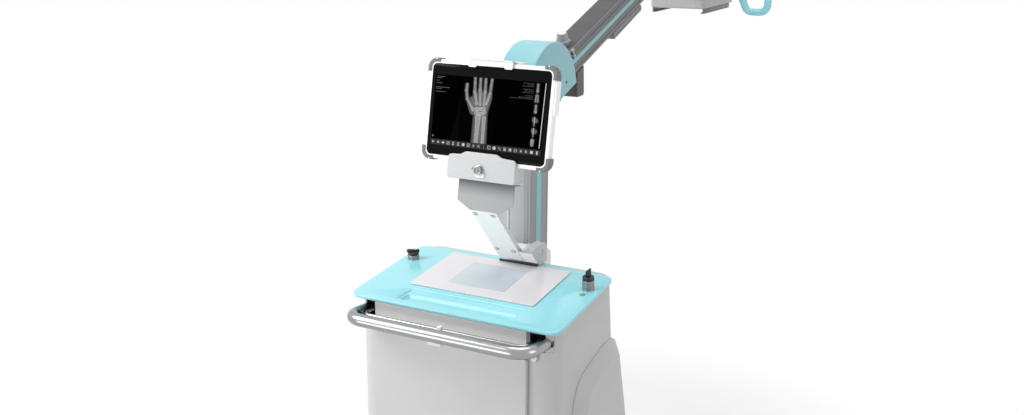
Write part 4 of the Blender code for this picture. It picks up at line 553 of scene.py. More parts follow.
def build_housing():
    levels = [(0.16, 0.012), (0.164, 0.006), (0.172, 0.0)]
    sections = [housing_section(z, FRONT + i, 0.525 - i, HALF_WIDTH - i) for z, i in levels]
    for height, back in reversed(BACK_PROFILE):
        sections.append(housing_section(height, FRONT, back, HALF_WIDTH))
    sections.append(housing_section(0.0, FRONT, 0.365, HALF_WIDTH, True))
    shell = loft(sections)
    outline = pod_outline()
    steps = [(0.0, 0.002), (0.034, 0.0235), (0.038, 0.0246), (0.043, POD_RAISE)]
    pods = []
    for side in (-1, 1):
        rings = [[(side * (HALF_WIDTH - 0.06), y, z) for y, z in outline]]
        for distance, rise in steps:
            rings.append([(side * (HALF_WIDTH + rise), y, z) for y, z in inset(outline, distance)])
        pods.append(loft(rings))
    cuts = []
    for side in (-1, 1):
        cuts.append(at(rod(0.158, 0.1, 96), move(side * 0.278, WHEEL_Y, WHEEL_RADIUS), ALONG_X))
    cuts.append(block((-0.0403, 0.3481 - GAP, 0.5797), (0.0403, 0.692, 1.021), 0))
    cuts.append(block((-0.188, -0.036, 0.337), (0.188, 0.124, 0.7745), 0))
    cuts.append(block((-0.207, -0.036, 0.337), (0.207, 0.0315, 0.356), 0))
    tray = block((-0.1613, 0.0157, -0.0235), (0.1613, 0.0913, 0.02), 0)
    cuts.append(at(tray, WORLD.inverted(), DECK))
    for side in (-1, 1):
        pocket = slab([socket_outline(side, GAP, 0.02)], SOCKET_HIGH + 2 * GAP, 0)
        cuts.append(at(pocket, lift(SOCKET_LEVEL)))
    cuts.append(at(rod(0.0083, 0.03, 32), move(LOCK_X, FRONT, LOCK_LEVEL), ALONG_Y))
    mesh = carve(shell, cuts, pods)
    show("housing_shell", at(mesh, WORLD), BODY, "cart", ["housing"], 30)


build_housing()


def build_back():
    """A service panel with louvres, screws, a mains inlet and an earth stud on the leaning back."""
    lean = math.degrees(math.atan2(BACK_PROFILE[1][1] - BACK_PROFILE[0][1],
                                   BACK_PROFILE[0][0] - BACK_PROFILE[1][0]))
    level = 0.43
    panel_at = (WORLD @ move(0, back_at(level) + 0.0004, level) @ turn("Z", 180)
                @ turn("X", 90 - lean))
    panel = plate((-0.13, 0.13, -0.112, 0.112, 0.01), 0.003, 0.0009, 3)
    slots = []
    for row in range(8):
        for left in (-0.105, 0.015):
            y = 0.08 - 0.011 * row
            slots.append(at(plate((left, left + 0.09, y - 0.0024, y + 0.0024, 0.0023),
                                 0.01, 0, 0)))
    pocket = plate((-0.098, -0.046, -0.08, -0.044, 0.003), 0.01, 0, 0)
    show("back_panel", at(carve(panel, slots + [pocket]), panel_at, lift(0.0016)), BODY,
         "cart")
    # A black sheet behind the louvre slots: painted shade of the housing's inside, seen through the
    # slots.
    behind = plate((-0.124, 0.124, -0.106, 0.106, 0.006), 0.0004, 0, 0)
    show("back_vent_painted_shade", at(behind, panel_at, lift(0.0004)), BLACK, "cart")
    inlet = carve(plate((-0.0255, 0.0255, -0.0175, 0.0175, 0.003), 0.004, 0.0008, 2),
                  [slab([rounded([(-0.0135, -0.0095, 0.001), (0.0135, -0.0095, 0.001),
                                  (0.0135, 0.005, 0.004), (0.009, 0.0095, 0.001),
                                  (-0.009, 0.0095, 0.001), (-0.0135, 0.005, 0.004)], 3)],
                        0.01, 0, 0)])
    show("mains_inlet", at(inlet, panel_at, move(-0.072, -0.062, 0.0022)), BLACK, "cart")
    pins = [at(block((-0.001, -0.003, 0), (0.001, 0.003, 0.003), 0.0003, 1), move(x, y, 0))
            for x, y in ((-0.007, -0.001), (0.0, 0.003), (0.007, -0.001))]
    show("mains_pins", at(gather(pins), panel_at, move(-0.072, -0.062, 0.0006)), STEEL, "cart")
    stud = revolve([(0, 0.011), (0.0028, 0.011), (0.0032, 0.01), (0.0032, 0.0045),
                    (0.0062, 0.0045), (0.0062, 0.0004), (0.0075, 0.0002), (0.0075, 0), (0, 0)], 36)
    show("earth_stud", at(stud, panel_at, move(0.085, -0.062, 0.0031)), BRUSHED, "cart")
    across, up = 0.118, 0.1
    for k, (x, y) in enumerate(((-across, -up), (across, -up), (across, up), (-across, up))):
        show(f"back_screw_{k + 1}", at(bolt(), panel_at, move(x, y, 0.0029)), STEEL, "cart")


def build_front():
    """Fascia, bin door, kick panel and the lock."""
    back = FRONT - GAP
    face = 0.001
    middle = (back + face) / 2
    top = underside(face) - GAP
    place = WORLD @ move(0, middle, 0) @ FACING
    show("fascia_panel", at(plate((-0.201, 0.201, 0.811, top, 0.003), back - face,
                                 0.0012, 3), place), PANEL, "cart", ["fascia"])
    low = 0.172
    kick = plate((-0.201, 0.201, low, 0.325, 0.006), back - face - 0.006, 0.0015, 3)
    show("kick_panel_cover", at(kick, WORLD, move(0, middle + 0.003, 0), FACING), PANEL, "cart",
         ["kick_panel"])
    door = plate((-0.201, 0.201, 0.343, 0.8055, 0.006), back - face, 0.0018, 3)
    barrel = rod(0.007, 0.32, 32)
    door = carve(at(door, move(0, middle, 0), FACING),
                 [at(rod(0.0038, 0.34, 24), move(0, BARREL_Y, BARREL_Z), ALONG_X)],
                 [at(barrel, move(0, BARREL_Y, BARREL_Z), ALONG_X)])
    show("bin_door_panel", at(door, WORLD), PANEL, "bin", ["bin_door"])
    tab = plate((-0.055, -0.019, 0.7915, 0.8075, 0.003), 0.002, 0.0006, 3)
    show("bin_tab", at(tab, WORLD, move(0, face - 0.001 - GAP, 0), FACING), LIGHT, "bin",
         ["bin_pull_tab"])
    key = revolve([(0, 0.011), (0.0022, 0.011), (0.0026, 0.0104), (0.0052, 0.0104), (0.0055, 0.011),
                   (0.0072, 0.0102), (0.0079, 0.009), (0.008, 0.008), (0.008, -0.012),
                   (0, -0.012)], 40)
    key = carve(key, [block((-0.0006, -0.0022, 0.0085), (0.0006, 0.0022, 0.013), 0)])
    show("panel_lock", at(key, WORLD, move(LOCK_X, FRONT + 0.0026, LOCK_LEVEL), ALONG_Y), LIGHT,
         "cart", ["door_lock"])
    ring = revolve([(0.0086, 0.0002), (0.0105, 0.0002), (0.0108, 0.0007), (0.0104, 0.0012),
                    (0.0088, 0.0012), (0.0085, 0.0007)], 40, True)
    show("panel_lock_ring", at(ring, WORLD, move(LOCK_X, FRONT - 0.0002, LOCK_LEVEL), ALONG_Y),
         BRUSHED, "cart")
    for name in ("bin_tray", "bin_hinge_pin"):
        repaint(name, LIGHT if name == "bin_tray" else STEEL)


def repaint(node, look):
    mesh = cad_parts[node].data
    mesh.materials.clear()
    mesh.materials.append(look)


build_front()
build_back()


def build_deck():
    """The cyan deck with its stepped pen tray, the touch panel and the bare plate on it."""
    half, depth, bow = 0.276, 0.338, 0.01
    back_line = [(half * (1 - i / 12), depth + bow * (1 - (1 - i / 12) ** 2)) for i in range(2, 23)]
    corners = [(-half, 0.0, 0.028), (half, 0.0, 0.028), (half, depth, 0.028)]
    corners += [(x, v, 0.0) for x, v in back_line]
    corners.append((-half, depth, 0.028))
    top = at(slab([rounded(corners, 12)], DECK_THICK, 0.0026, 4), lift(-DECK_THICK / 2))
    floor = block((-0.161, 0.016, -0.019), (0.161, 0.091, -0.004), 0)

    def mouth(left, front, right, back, radius):
        return rounded([(left, front, radius), (right, front, radius), (right, back, radius),
                        (left + 0.008, back, radius)], 6)

    def hollow(levels):
        """A tray's hollow from its levels: height, then insets at the ends, front and back."""
        return loft([[(x, v, z) for x, v in mouth(-0.157 + i, 0.02 + f, 0.157 - i, 0.087 - b, r)]
                     for z, i, f, b, r in levels])

    rim = hollow([(-0.0032, 0.0042, 0.003, 0.0065, 0.0045),
                  (-0.0026, 0.0036, 0.0026, 0.0058, 0.005),
                  (-0.0004, 0.001, 0.0006, 0.001, 0.006), (0.0, 0.0003, 0.0002, 0.0003, 0.006),
                  (0.001, 0.0, 0.0, 0.0, 0.0062)])
    well = hollow([(-0.011, 0.0155, 0.0085, 0.0335, 0.003),
                   (-0.0104, 0.014, 0.0078, 0.0325, 0.0035),
                   (-0.0042, 0.0075, 0.0052, 0.027, 0.004),
                   (-0.0034, 0.0067, 0.0045, 0.0262, 0.0042),
                   (-0.002, 0.0064, 0.0043, 0.0258, 0.0042)])
    deck = carve(top, [rim, well], [floor])
    show("deck_top", at(deck, DECK), CYAN, "cart", ["deck"], 40)
    # The tray's two beads along its back edge and step are a lighter cyan: painted highlight lines
    # where the rounded edges catch the light.
    for name, y, z, left, right in (("back", 0.0866, -0.0006, -0.146, 0.155),
                                    ("step", 0.0609, -0.0038, -0.145, 0.148)):
        bead = tube([(left, y, z), (right, y, z)], 0.0013, 6)
        show("tray_bead_painted_highlight_" + name, at(bead, DECK), CYAN_PAINTED_HIGHLIGHT, "cart")

    panel = plate((-0.168, 0.168, 0.105, 0.32, 0.007), 0.003, 0.0009, 3)
    show("touch_surface", at(panel, DECK, lift(0.0018)), TOUCH, "cart",
         ["touch_panel"])
    bare = plate((-0.084, 0.07, 0.146, 0.28, 0.002), 0.0004, 0.00012, 1)
    show("touch_plate_bare", at(bare, DECK, lift(0.0035)), PLATE, "cart")


build_deck()


def build_switches():
    for (name, side), collar, knob in zip(SIDES, (0.012, 0.024), (0.007, 0.009)):
        place = DECK @ move(side * SWITCH_X, SWITCH_Y, GAP)
        profile = [(0, collar), (0.0121, collar), (0.0138, collar - 0.0002),
                   (0.0144, collar - 0.0008), (0.0145, collar - 0.0015)]
        rib = 0.0022
        level = collar - 0.003
        while level > 0.003:
            profile += [(0.0145, level), (0.0141, level - 0.0003), (0.0141, level - 0.0007),
                        (0.0145, level - 0.001)]
            level -= rib
        profile += [(0.0145, 0.0012), (0.01475, 0.0008), (0.01475, 0.0), (0, 0)]
        show("switch_ring_" + name, at(revolve(profile, 64), place), STEEL, "cart",
             ["switch_collar_" + name])
        cap = [(0, knob), (0.0118, knob), (0.013, knob - 0.0004), (0.0138, knob - 0.0014),
               (0.014, knob - 0.003), (0.014, 0.001), (0.0136, 0.0), (0, 0)]
        head = revolve(cap, 64)
        flutes = []
        for i in range(24):
            flutes.append(at(rod(0.0007, knob - 0.003, 10, 0.0002), turn("Z", 360 * i / 24),
                             move(0.0142, 0, knob / 2 - 0.001)))
        base = place @ lift(collar + GAP)
        if side == 1:
            fin = rounded([(-0.0075, -0.004, 0.001), (0.007, -0.004, 0.001),
                           (0.0066, 0.0235, 0.0012), (0.004, 0.0235, 0.002),
                           (-0.0062, 0.0155, 0.003)], 6)
            head = carve(head, flutes, [at(slab([fin], 0.0075, 0.0012, 3),
                                           turn("Z", 12), lift(knob * 0.6), FACING)])
        else:
            bar = slab([rounded([(-0.0165, -0.005, 0.0045), (0.0165, -0.0036, 0.0033),
                                 (0.0165, 0.0036, 0.0033), (-0.0165, 0.005, 0.0045)], 6)],
                       0.0075, 0.0012, 3)
            head = carve(head, flutes, [at(bar, turn("Z", 24), lift(knob + 0.002))])
        show("switch_cap_" + name, at(head, base), BLACK, "cart",
             ["switch_knob_" + name], 40)
        mark = block((0.004, -0.0006, 0), (0.0085, 0.0006, 0.0002), 0)
        if side == -1:
            show("switch_mark", at(mark, base, turn("Z", 24), lift(knob + 0.0058)), WHITE,
                 "cart")
    lamp = [(0, 0.0026)] + [(0.0062 * math.sin(a), 0.0004 + 0.0022 * math.cos(a))
                            for a in (0.3, 0.6, 0.9, 1.2, math.pi / 2)] + [(0.0062, 0), (0, 0)]
    show("power_lamp", at(revolve(lamp, 40), DECK, move(SWITCH_X, LAMP_Y, GAP)), GREEN, "cart",
         ["status_lamp"])
    bezel = revolve([(0.0064, 0.0), (0.0074, 0.0), (0.0072, 0.0004), (0.0066, 0.0006)], 40, True)
    show("power_lamp_ring", at(bezel, DECK, move(SWITCH_X, LAMP_Y, 0.0001)), STEEL, "cart")


build_switches()


def build_handle():
    """Chrome push handle, brake bar with its clip, and the black corner inserts."""
    seat = FRONT + 0.048
    low, high = 0.838, 0.8495
    x = 0.235
    route = path([(-x, seat, low), (-x, -0.0698, high), (x, -0.0698, high), (x, seat, low)], 0.044,
                 18)
    show("push_rail", at(tube(route, 0.015, 12), WORLD), CHROME, "cart",
         ["push_handle"], 60)
    level, end, out = 0.848, 0.2125, -0.03
    bar = path([(-end, FRONT + 0.03, level), (-end, out, level), (end, out, level),
                (end, FRONT + 0.03, level)], 0.018, 12)
    show("brake_rail", at(tube(bar, 0.0045, 8), WORLD), CHROME, "cart", ["brake_bar"], 60)
    clip = block((-0.005, -0.007, -0.009), (0.005, 0.007, 0.009), 0.0014, 3)
    clip = carve(clip, [at(rod(0.0043, 0.05, 24), ALONG_X),
                        block((-0.02, 0.0, -0.0009), (0.02, 0.02, 0.0009), 0)])
    show("brake_clip", at(clip, WORLD, move(-0.003, out, level)), WHITE, "cart",
         ["brake_bar_clip"])
    for name, side in SIDES:
        mouth = block((side * 0.222 - 0.0165, FRONT - 0.03, 0.826),
                      (side * 0.222 + 0.0165, FRONT + 0.026, 0.864), 0.004, 3)
        split = side * 0.2385
        for piece, look, slot, away, nodes in (
                ("insert", BLACK, "black", 0.1, ["handle_socket_" + name]),
                ("cheek", BODY, "body_grey", -0.1, ())):
            shell = at(slab([socket_outline(side)], SOCKET_HIGH, 0.0004, 1), lift(SOCKET_LEVEL))
            left, right = sorted((split, split + side * away))
            cuts = [tube(route, 0.0153, 12), tube(bar, 0.0048, 8)]
            if piece == "insert":
                cuts.append(mouth)
            cuts.append(block((left, -0.05, 0.8), (right, 0.2, 0.9), 0))
            show(f"corner_{piece}_{name}", at(carve(shell, cuts), WORLD), look, "cart",
                 nodes, 40)
        ring = revolve([(0.0153, -0.002), (0.018, -0.002), (0.0187, 0.0), (0.018, 0.0022),
                        (0.016, 0.003), (0.0153, 0.0022)], 48, True)
        show("handle_seal_" + name, at(ring, WORLD, move(side * x, FRONT + 0.02, 0.8413),
                                       turn("X", 86)), BLACK, "cart")


build_handle()


# Column

def build_column():
    foot = plate((-0.04, 0.04, 0.3484, 0.4845, 0.012, 10), 0.325, 0.008, 5)
    foot = carve(at(foot, lift(0.7425)),
                 [block((-0.0303, 0.3567, 0.6), (0.0303, 0.4753, 0.971), 0)])
    show("column_foot", at(foot, WORLD), FOOT, "cart", ["column_socket"])
    seal = slab([rectangle(-0.0325, 0.0325, 0.3542, 0.4778, 0.004),
                 rectangle(-0.0303, 0.0303, 0.3567, 0.4753, 0.002)], 0.003, 0.0008, 2)
    show("column_seal", at(seal, WORLD, lift(0.9058)), LIGHT, "cart")

    x, front, back = 0.03, 0.357, 0.475
    arris, slit, slit_wide = 0.0075, 0.0198, 0.0022

    def half_outline(side):
        """One half of the column's section, from the middle of its front to its back."""
        points = [(slit, front), (slit, front + 0.003), (slit + slit_wide, front + 0.003),
                  (slit + slit_wide, front)] if side == 1 else []
        points += arc((x - arris, front + arris), arris, -math.pi / 2, 0.0, 6)
        points += [(x, back - 0.01), (x - 0.0015, back - 0.0095), (x - 0.0015, back - 0.0085),
                   (x, back - 0.008)]
        points += arc((x - 0.003, back - 0.003), 0.003, 0.0, math.pi / 2, 4)
        return points if side == 1 else [(-a, b) for a, b in reversed(points)]

    height = 1.236 - 0.6 - GAP
    mast = slab([half_outline(1) + half_outline(-1)], height, 0, 0)
    show("column_profile", at(mast, WORLD, lift(0.6 + GAP + height / 2)), EXTRUDED, "cart",
         ["column"], 25)
    # Painted light: the front face and the right arris take a lighter copy of the column's anodised
    # grey, while the sides and the left arris keep the darker one.
    face = block((-x + arris, front - 0.0005, 0.907), (slit - 0.0004, front + 0.0005, 1.2355),
                 0.0002, 1)
    show("column_front_painted_light", at(face, WORLD), ANODISED_PAINTED_LIGHT, "cart")
    for name, side in SIDES:
        edge_rod = rod(0.00765, 0.3285, 40)
        show("column_arris_" + name,
             at(edge_rod, WORLD, move(side * (x - arris), front + arris, 1.0713)),
             EXTRUDED if side < 0 else ANODISED_PAINTED_LIGHT, "cart")
        strip = block((-0.0004, 0.402, 0.907), (0.0004, 0.431, 1.2355), 0.0002, 1)
        show("column_stripe_" + name, at(strip, WORLD, move(side * 0.0302)), STRIPE, "cart")


build_column()


# Arm

# A little thinner than the CAD beam, as the photograph shows it
ARM_LOW, ARM_HIGH, ARM_HALF = -0.013, 0.061, 0.035

def cover_profile(radius, steps=96):
    start = math.asin((COVER_CHORD + COVER_DROP) / radius)
    return arc((0, -COVER_DROP), radius, start, math.pi - start, steps)


def build_shoulder():
    outer, wall, top = 0.149, 0.0067, ARM_HIGH + GAP
    inner = outer - wall
    reach = 2 * outer
    meet = math.asin((top + COVER_DROP) / inner)
    stop = math.radians(165.0)
    end = inner * math.sin(stop) - COVER_DROP
    hollow = [(reach, -reach), (reach, top), (inner * math.cos(meet), top)]
    hollow += arc((0, -COVER_DROP), inner, meet, stop, 60)[1:]
    hollow += [(-reach, end), (-reach, -reach)]
    shell = at(slab([cover_profile(outer)], 0.094, 0.0042, 5), SIDEWAYS)
    inside = at(slab([hollow], 2 * ARM_HALF + 0.0006, 0, 0), SIDEWAYS)
    show("shoulder_shell", at(carve(shell, [inside]), ARM), CYAN_SATIN, "arm",
         ["shoulder_cover"], 30)
    for name, side in SIDES:
        for level, y, z in (("low", 0.086, 0.004), ("high", -0.075, 0.062)):
            screw = revolve([(0, 0.0006), (0.0012, 0.0006), (0.0014, 0.0014), (0.0028, 0.0014),
                             (0.0034, 0.0006), (0.0034, 0), (0, 0)], 24)
            show(f"cover_screw_{name}_{level}",
                 at(screw, ARM, move(side * 0.0468, y, z), turn("Y", 90 * side)), BLACK, "arm")


build_shoulder()


def build_beam():
    bottom, top, half = ARM_LOW, ARM_HIGH, ARM_HALF
    middle = (bottom + top) / 2

    def side_profile(side):
        """One side of the profile, from its lower edge up: rounded edges and two fine grooves."""
        rows = [(half - 0.005, bottom), (half - 0.0015, bottom + 0.0015), (half, bottom + 0.005)]
        for z in (bottom + 0.014, top - 0.014):
            rows += [(half, z - 0.0012), (half - 0.0014, z - 0.0008), (half - 0.0014, z + 0.0008),
                     (half, z + 0.0012)]
        rows += [(half, top - 0.005), (half - 0.0015, top - 0.0015), (half - 0.005, top)]
        return rows if side == 1 else [(-a, b) for a, b in reversed(rows)]

    length = ARM_END - ARM_START
    beam = slab([side_profile(1) + side_profile(-1)], length, 0, 0)
    show("arm_profile", at(beam, ARM, move(0, ARM_START + length / 2), FACING), ANODISED, "arm",
         ["arm_beam"], 25)
    for name, side in SIDES:
        strip = block((-0.0004, 0.148, middle - 0.006), (0.0004, 1.0, middle + 0.0065),
                      0.0002, 1)
        show("arm_stripe_" + name, at(strip, ARM, move(side * (half + 0.0002))), STRIPE, "arm")
    rail = plate((0.452, 0.686, bottom - GAP - 0.021, bottom - GAP, 0.0095, 10), 0.068,
                0.003, 3)
    rail = at(rail, SIDEWAYS)
    grooves = []
    for side in (-1, 1):
        grooves.append(at(plate((0.464, 0.674, bottom - 0.0155, bottom - 0.0065, 0.003),
                               0.004, 0, 0), move(side * 0.0345), SIDEWAYS))
    show("arm_grip_rail", at(carve(rail, grooves), ARM), RAIL_GREY, "arm",
         ["arm_rail"], 35)
    cap = revolve([(0, 0.0352), (0.0116, 0.0352), (0.013, 0.0344), (0.0138, 0.032),
                   (0.017, 0.016), (0.0194, 0.014), (0.0202, 0.0126), (0.0202, 0.0108),
                   (0.0176, 0.0096), (0.017, 0.0), (0, 0)], 64)
    show("arm_cap", at(cap, ARM, move(0, 0.188, top + GAP)), CAP_GREY, "arm",
         ["arm_cap_knob"])
    cap_face = revolve([(0, 0.0003), (0.0098, 0.0003), (0.0102, 0.0), (0, 0)], 48)
    show("arm_cap_face", at(cap_face, ARM, move(0, 0.188, top + GAP + 0.0353)), LIGHT, "arm")
    slope = math.tan(ARM_RISE)
    low_back = Vector((0.0278, -0.075))
    low_front = low_back - Vector((math.cos(ARM_RISE), -math.sin(ARM_RISE))) * 0.05
    block_shape = rounded([(low_front.x - low_front.y * slope, 0.0045, 0.0), (*low_front, 0.009),
                           (*low_back, 0.009),
                           (low_back.x - low_back.y * slope * 0.8, 0.0045, 0.0)], 6)
    box_at = move(0, 0.183, -0.0185 - GAP)
    spring = at(slab([block_shape], 0.07, 0.0025, 3), box_at, SIDEWAYS)
    seam = at(slab([inset(block_shape, -0.004), inset(block_shape, 0.0008)], 0.0014, 0, 0),
              box_at, SIDEWAYS)
    show("spring_box", at(carve(spring, [seam]), ARM), DARK, "arm", ["spring_housing"])
    sheet = block((-half + 0.0045, 0.12, -0.0003), (half - 0.0045, 0.998, 0.0004), 0.0002, 1)
    show("arm_top_sheet", at(sheet, ARM, lift(top)), ARM_TOP, "arm")
    latch = gather([
        block((0.0, -0.0085, -0.013), (0.003, 0.0085, 0.013), 0.0012, 2),
        at(rod(0.0062, 0.013, 36, 0.0014), move(0.0055, -0.001, -0.003), ALONG_X),
        block((0.0015, -0.0045, 0.004), (0.0095, 0.0045, 0.0175), 0.0018, 3),
        at(rod(0.0026, 0.017, 24, 0.0006), move(0.0062, 0.0, 0.0125), ALONG_Y)])
    show("arm_latch", at(latch, ARM, move(half + 0.0004, 0.155, 0.05)), BRUSHED, "arm")


build_beam()


def refine(name, node, look, body, edge=0.0012, segments=2):
    """A copy of a CAD node's solid with its flat faces merged and its edges rounded."""
    shape = bmesh.new()
    shape.from_mesh(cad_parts[node].data)
    bmesh.ops.remove_doubles(shape, verts=shape.verts, dist=0.00001)
    bmesh.ops.dissolve_limit(shape, angle_limit=math.radians(1.0), verts=shape.verts,
                             edges=shape.edges)
    sharp = [e for e in shape.edges if len(e.link_faces) == 2
             and e.calc_face_angle(0.0) > math.radians(40)]
    if edge:
        bmesh.ops.bevel(shape, geom=sharp, offset=edge, segments=segments, profile=0.5,
                        affect="EDGES", clamp_overlap=True)
    mesh = finish_mesh(shape)
    return show(name, mesh, look, body, [node])


LOOKS = {
    "chassis_frame": DARK, "wheel_axle": STEEL, "shoulder_axle": STEEL, "wrist_axle": STEEL,
    "tilt_axle": STEEL, "column_head": DARK, "arm_root": ANODISED, "arm_knuckle": DARK,
    "wrist_link": DARK, "tilt_fork": DARK,
}
for node, look in LOOKS.items():
    repaint(node, look)


# Head

def build_head():
    front, back = 0.0093, 0.31
    low, high = -0.094, 0.078
    wide = 0.105
    outline = rectangle(-wide, wide, low, high, 0.026, 12)
    solid = at(slab([outline], back - front, 0.007, 5), move(0, (front + back) / 2, 0), FACING)
    bore = at(rod(0.0163, 0.064, 32), move(0, front, 0), ALONG_Y)
    y = 0.17
    inside, low_inside = wide - 0.02, 0.075
    route = path([(inside, y, 0.045), (0.2615, y, 0.045), (0.2615, y, -0.252), (0.19, y, -0.252),
                  (0.14, y, -0.13), (low_inside, y, -0.13)], 0.027, 12)
    show("head_loop", at(tube(route, 0.0125, 10), HEAD), CYAN, "head",
         ["loop_handle"], 60)
    for k, (x, z) in enumerate(((wide, 0.045), (0.095, -0.13))):
        collar = revolve([(0.0129, 0.0), (0.0185, 0.0), (0.0185, 0.003), (0.017, 0.005),
                          (0.0129, 0.0055)], 48, True)
        show(f"head_loop_collar_{k + 1}", at(collar, HEAD, move(x, y, z), turn("Y", 90)), LIGHT,
             "head")
    seam = [at(slab([rectangle(-wide - 0.01, wide + 0.01, low - 0.01, high + 0.01, 0.03, 10),
                     rectangle(-wide + 0.0012, wide - 0.0012, low + 0.0012, high - 0.0012, 0.0248,
                               12)], 0.002, 0, 0), move(0, place, 0), FACING)
            for place in (0.06, 0.262)]
    vents = [at(plate((-0.0018, 0.0018, -0.03, 0.03, 0.0017, 4), 0.02, 0, 0),
                move(-0.05 + 0.0125 * i, back, 0.004), FACING) for i in range(9)]
    solid = carve(solid, [bore, tube(route, 0.0128, 10)] + seam + vents)
    show("tube_housing", at(solid, HEAD), PANEL, "head", ["monoblock"], 30)

    top, bottom = -0.104, -0.233
    near, far = -0.03, 0.33
    middle = (near + far) / 2
    plan = rectangle(-0.095, 0.095, near, far, 0.014, 10)
    box_mesh = at(slab([plan], top - bottom, 0.006, 5), lift((top + bottom) / 2))
    neck = block((-0.07, middle - 0.07, top - 0.004), (0.07, middle + 0.07, low - GAP), 0)
    window = block((-0.055, middle - 0.055, bottom - 0.01),
                   (0.055, middle + 0.055, bottom + 0.006), 0)
    line = [slab([rectangle(-0.11, 0.11, near - 0.01, far + 0.01, 0.02),
                  rectangle(-0.0938, 0.0938, near + 0.0012, far - 0.0012, 0.0128, 10)], 0.0018,
                 0, 0)]
    line = [at(m, lift(bottom + 0.036)) for m in line]
    panel_cuts = []
    for side in (-1, 1):
        ring = slab([rectangle(near + 0.03, far - 0.03, bottom + 0.052, top - 0.016, 0.022, 10),
                     rectangle(near + 0.0315, far - 0.0315, bottom + 0.0535, top - 0.0175, 0.0205,
                               10)], 0.003, 0, 0)
        panel_cuts.append(at(ring, move(side * 0.095, 0, 0), SIDEWAYS))
    mesh = carve(box_mesh, [window, tube(route, 0.0128, 10)] + line + panel_cuts, [neck])
    show("collimator_box", at(mesh, HEAD), HEAD_GREY, "head", ["collimator"], 30)
    pane = plate((-0.0545, 0.0545, middle - 0.0545, middle + 0.0545, 0.001), 0.002,
                0.0003, 1)
    show("collimator_window", at(pane, HEAD, lift(bottom + 0.0045)), GLASS, "head")
    cross = gather([block((-0.0545, middle - 0.0003, 0), (0.0545, middle + 0.0003, 0.0002), 0),
                    block((-0.0003, middle - 0.0545, 0), (0.0003, middle + 0.0545, 0.0002), 0)])
    show("collimator_cross", at(cross, HEAD, lift(bottom + 0.0031)), WHITE, "head")
    blank = plate((-0.04, 0.04, bottom + 0.06, top - 0.024, 0.003), 0.0012, 0.0004, 2)
    show("collimator_plate", at(blank, HEAD, move(0, near - 0.0006, 0), FACING), WHITE, "head")
    for k, x in enumerate((-0.062, 0.062)):
        knob = revolve([(0, 0.0136), (0.0095, 0.0136), (0.0108, 0.0128), (0.0114, 0.011),
                        (0.0118, 0.003), (0.0135, 0.001), (0.0135, 0), (0, 0)], 48)
        grips = [at(rod(0.0011, 0.02, 10, 0.0002), turn("Z", 30 * i), move(0.0122, 0, 0.012))
                 for i in range(12)]
        knob_at = move(x, far - 0.0004, bottom + 0.082) @ turn("X", 270) @ lift(-0.0136)
        show(f"collimator_knob_{k + 1}", at(carve(knob, grips), HEAD, knob_at), DARK, "head",
             sharp=35)

    for name, side in SIDES:
        web = -0.0035 * side
        width, lip = 0.0055, 0.016
        profile = [(-width, 0.0), (-width, -lip), (width, -lip), (width, -lip + 0.004),
                   (-width + 0.005, -lip + 0.004), (-width + 0.005, 0.0)]
        profile = [(-side * x, z) for x, z in profile][::-side]
        rail = at(slab([profile], 0.308, 0.0007, 2), move(side * 0.0895 + web, 0.14, bottom - GAP),
                  FACING)
        show("head_rail_trim_" + name, at(rail, HEAD), ANODISED, "head",
             ["head_rail_" + name])
        stop_at = move(side * 0.0893, 0.272, bottom - 0.0085)
        show("head_rail_stop_" + name, at(rod(0.0045, 0.006, 28, 0.001), HEAD, stop_at, ALONG_X),
             STEEL, "head")


build_head()


# Tablet

GLASS_HALF, GLASS_TOP, RIM = 0.157, 0.218, 0.01
CASE_THICK = 0.022


